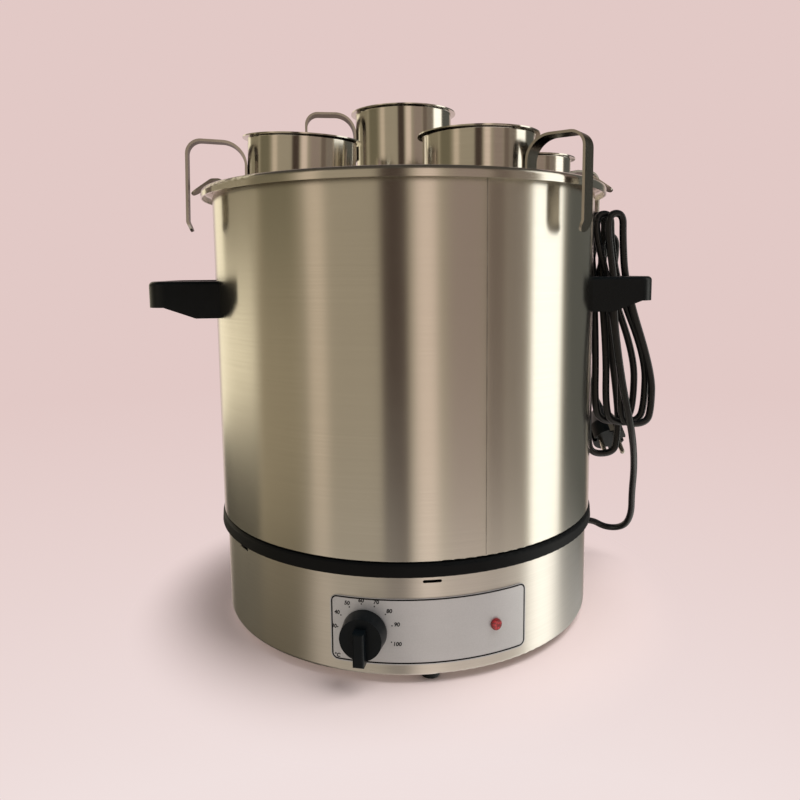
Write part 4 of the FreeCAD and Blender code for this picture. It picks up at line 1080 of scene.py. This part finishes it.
    def build(self, made: dict[str, bpy.types.Material]) -> None:
        """Print the plate and dress the knob and the lamp.

        Args:
            made: The built materials.
        """
        clear_selection()
        dress({"control_panel": "foil", "knob": "dial", "thermostat_shaft": "nickel", "lamp_lens": "lamp",
               "lamp_body": "black", "lamp_clip": "zinc"}, made)
        self.border(made["ink"])
        for words, turn in self.scale.items():
            along, up = self.round_the_knob(self.figure_circle + self.nudges.get(words, 0.0), turn)
            self.figure(words, along, up, f"figure_{words}", made["ink"])
        centre = math.radians(self.knob_turn) * self.radius
        self.figure("°C", centre + self.unit_place[0], self.unit_place[1], "figure_unit", made["ink"])
        self.dots(made["ink"])


# Metalwork

@dataclass
class Bath:
    """The water bath with its weld seam, and the black ring under it. Sizes in millimetres.

    Attributes:
        radius: Outer radius of the wall.
        low: Height at which the seam begins.
        top: Height at which it ends.
        seam_turn: Where it is, in degrees from the front towards +X.
        seam_half: Half its width.
        seam_rise: How far its middle stands out from its edges.
        seam_sink: How far its edges are set into the wall.
        ripple: How much its width varies, as a share of it.
        ripple_rate: How fast, in radians per metre.
        finishes: The finish of each node.
    """

    radius: float = 180.0
    low: float = 102.6
    top: float = 392.3
    seam_turn: float = 13.8
    seam_half: float = 0.45
    seam_rise: float = 0.07
    seam_sink: float = 0.02
    ripple: float = 0.15
    ripple_rate: float = 700.0
    finishes: dict[str, str] = field(default_factory=lambda: {
        "pot_floor": "wall", "pot_wall": "wall", "pot_rim": "wall", "seal_ring": "rubber",
        "tie_studs": "zinc", "tie_nuts": "zinc", "heat_spreader": "aluminium",
        "heating_element": "zinc", "element_clamp": "zinc", "overheat_limiter": "nickel"})

    def seam(self, steel: bpy.types.Material) -> None:
        """The planished weld that runs up the wall: a long shallow strip with a rounded face.

        Args:
            steel: Its finish.
        """
        clear_selection()
        bpy.ops.mesh.primitive_grid_add(x_subdivisions=4, y_subdivisions=40, size=1.0)
        strip = bpy.context.object
        strip.scale = (2 * self.seam_half * MM, (self.top - self.low) * MM, 1.0)
        bpy.ops.object.transform_apply(location=False, rotation=False, scale=True)
        middle = (self.top + self.low) / 2 * MM
        for vertex in strip.data.vertices:
            share = vertex.co.x / (self.seam_half * MM)
            ripple = 1.0 + self.ripple * math.sin(vertex.co.y * self.ripple_rate)
            height = (1 - share * share) * self.seam_rise * MM - self.seam_sink * MM
            vertex.co = (vertex.co.x * ripple, vertex.co.y + middle, height)
        wrap(strip, self.radius * MM, self.seam_turn)
        settle(strip, "bath_seam", steel, "base", 60.0)

    def build(self, made: dict[str, bpy.types.Material]) -> None:
        """Dress the bath, its ring and its ties.

        Args:
            made: The built materials.
        """
        dress(self.finishes, made)
        self.seam(made["strip"])


@dataclass
class Casing:
    """The casing, its bottom plate, feet and what it holds.

    Attributes:
        finishes: The finish of each node.
    """

    finishes: dict[str, str] = field(default_factory=lambda: {
        "base_shell": "casing", "base_plate": "zinc", "feet": "rubber", "foot_screws": "zinc",
        "foot_nuts": "zinc", "plate_screws": "zinc", "thermostat_bracket": "zinc",
        "thermostat_body": "brown", "thermostat_screws": "zinc", "thermostat_probe": "copper",
        "terminal_block": "white", "wiring": "rubber"})

    def build(self, made: dict[str, bpy.types.Material]) -> None:
        """Dress the casing's nodes.

        Args:
            made: The built materials.
        """
        dress(self.finishes, made)


@dataclass
class Handles:
    """The two black side handles on their tabs.

    Attributes:
        finishes: The finish of each node.
    """

    finishes: dict[str, str] = field(default_factory=lambda: {
        "handle_left": "black", "handle_right": "black", "handle_tabs": "zinc", "handle_screws": "zinc"})

    def build(self, made: dict[str, bpy.types.Material]) -> None:
        """Dress the handles' nodes.

        Args:
            made: The built materials.
        """
        dress(self.finishes, made)


@dataclass
class RackAndCups:
    """The lift-out rack and the four dipping cups that stand on it.

    Attributes:
        cups: The cups by where they stand.
    """

    cups: tuple[str, ...] = ("front_left", "front_right", "rear_right", "middle")

    def build(self, made: dict[str, bpy.types.Material]) -> None:
        """Dress the rack and the cups.

        Args:
            made: The built materials.
        """
        dress({"rack_plate": "strip", "rack_legs": "strip", "rack_strap_left": "strip",
               "rack_strap_right": "strip"}, made)
        for cup in self.cups:
            dress({f"cup_{cup}": "cup", f"cup_handle_{cup}": "strip"}, made)


def main() -> None:
    """Build the studio and dress the melter, piece by piece."""
    logging.basicConfig(level=logging.INFO, format="%(name)s: %(message)s")
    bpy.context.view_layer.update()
    clear_selection()
    Studio().build()
    made = {name: finish.material() for name, finish in FINISHES.items()}
    MainsLead().build(made)
    for assembly in (Casing(), Bath(), ControlPanel(), Handles(), RackAndCups()):
        assembly.build(made)


if __name__ == "__main__":
    main()
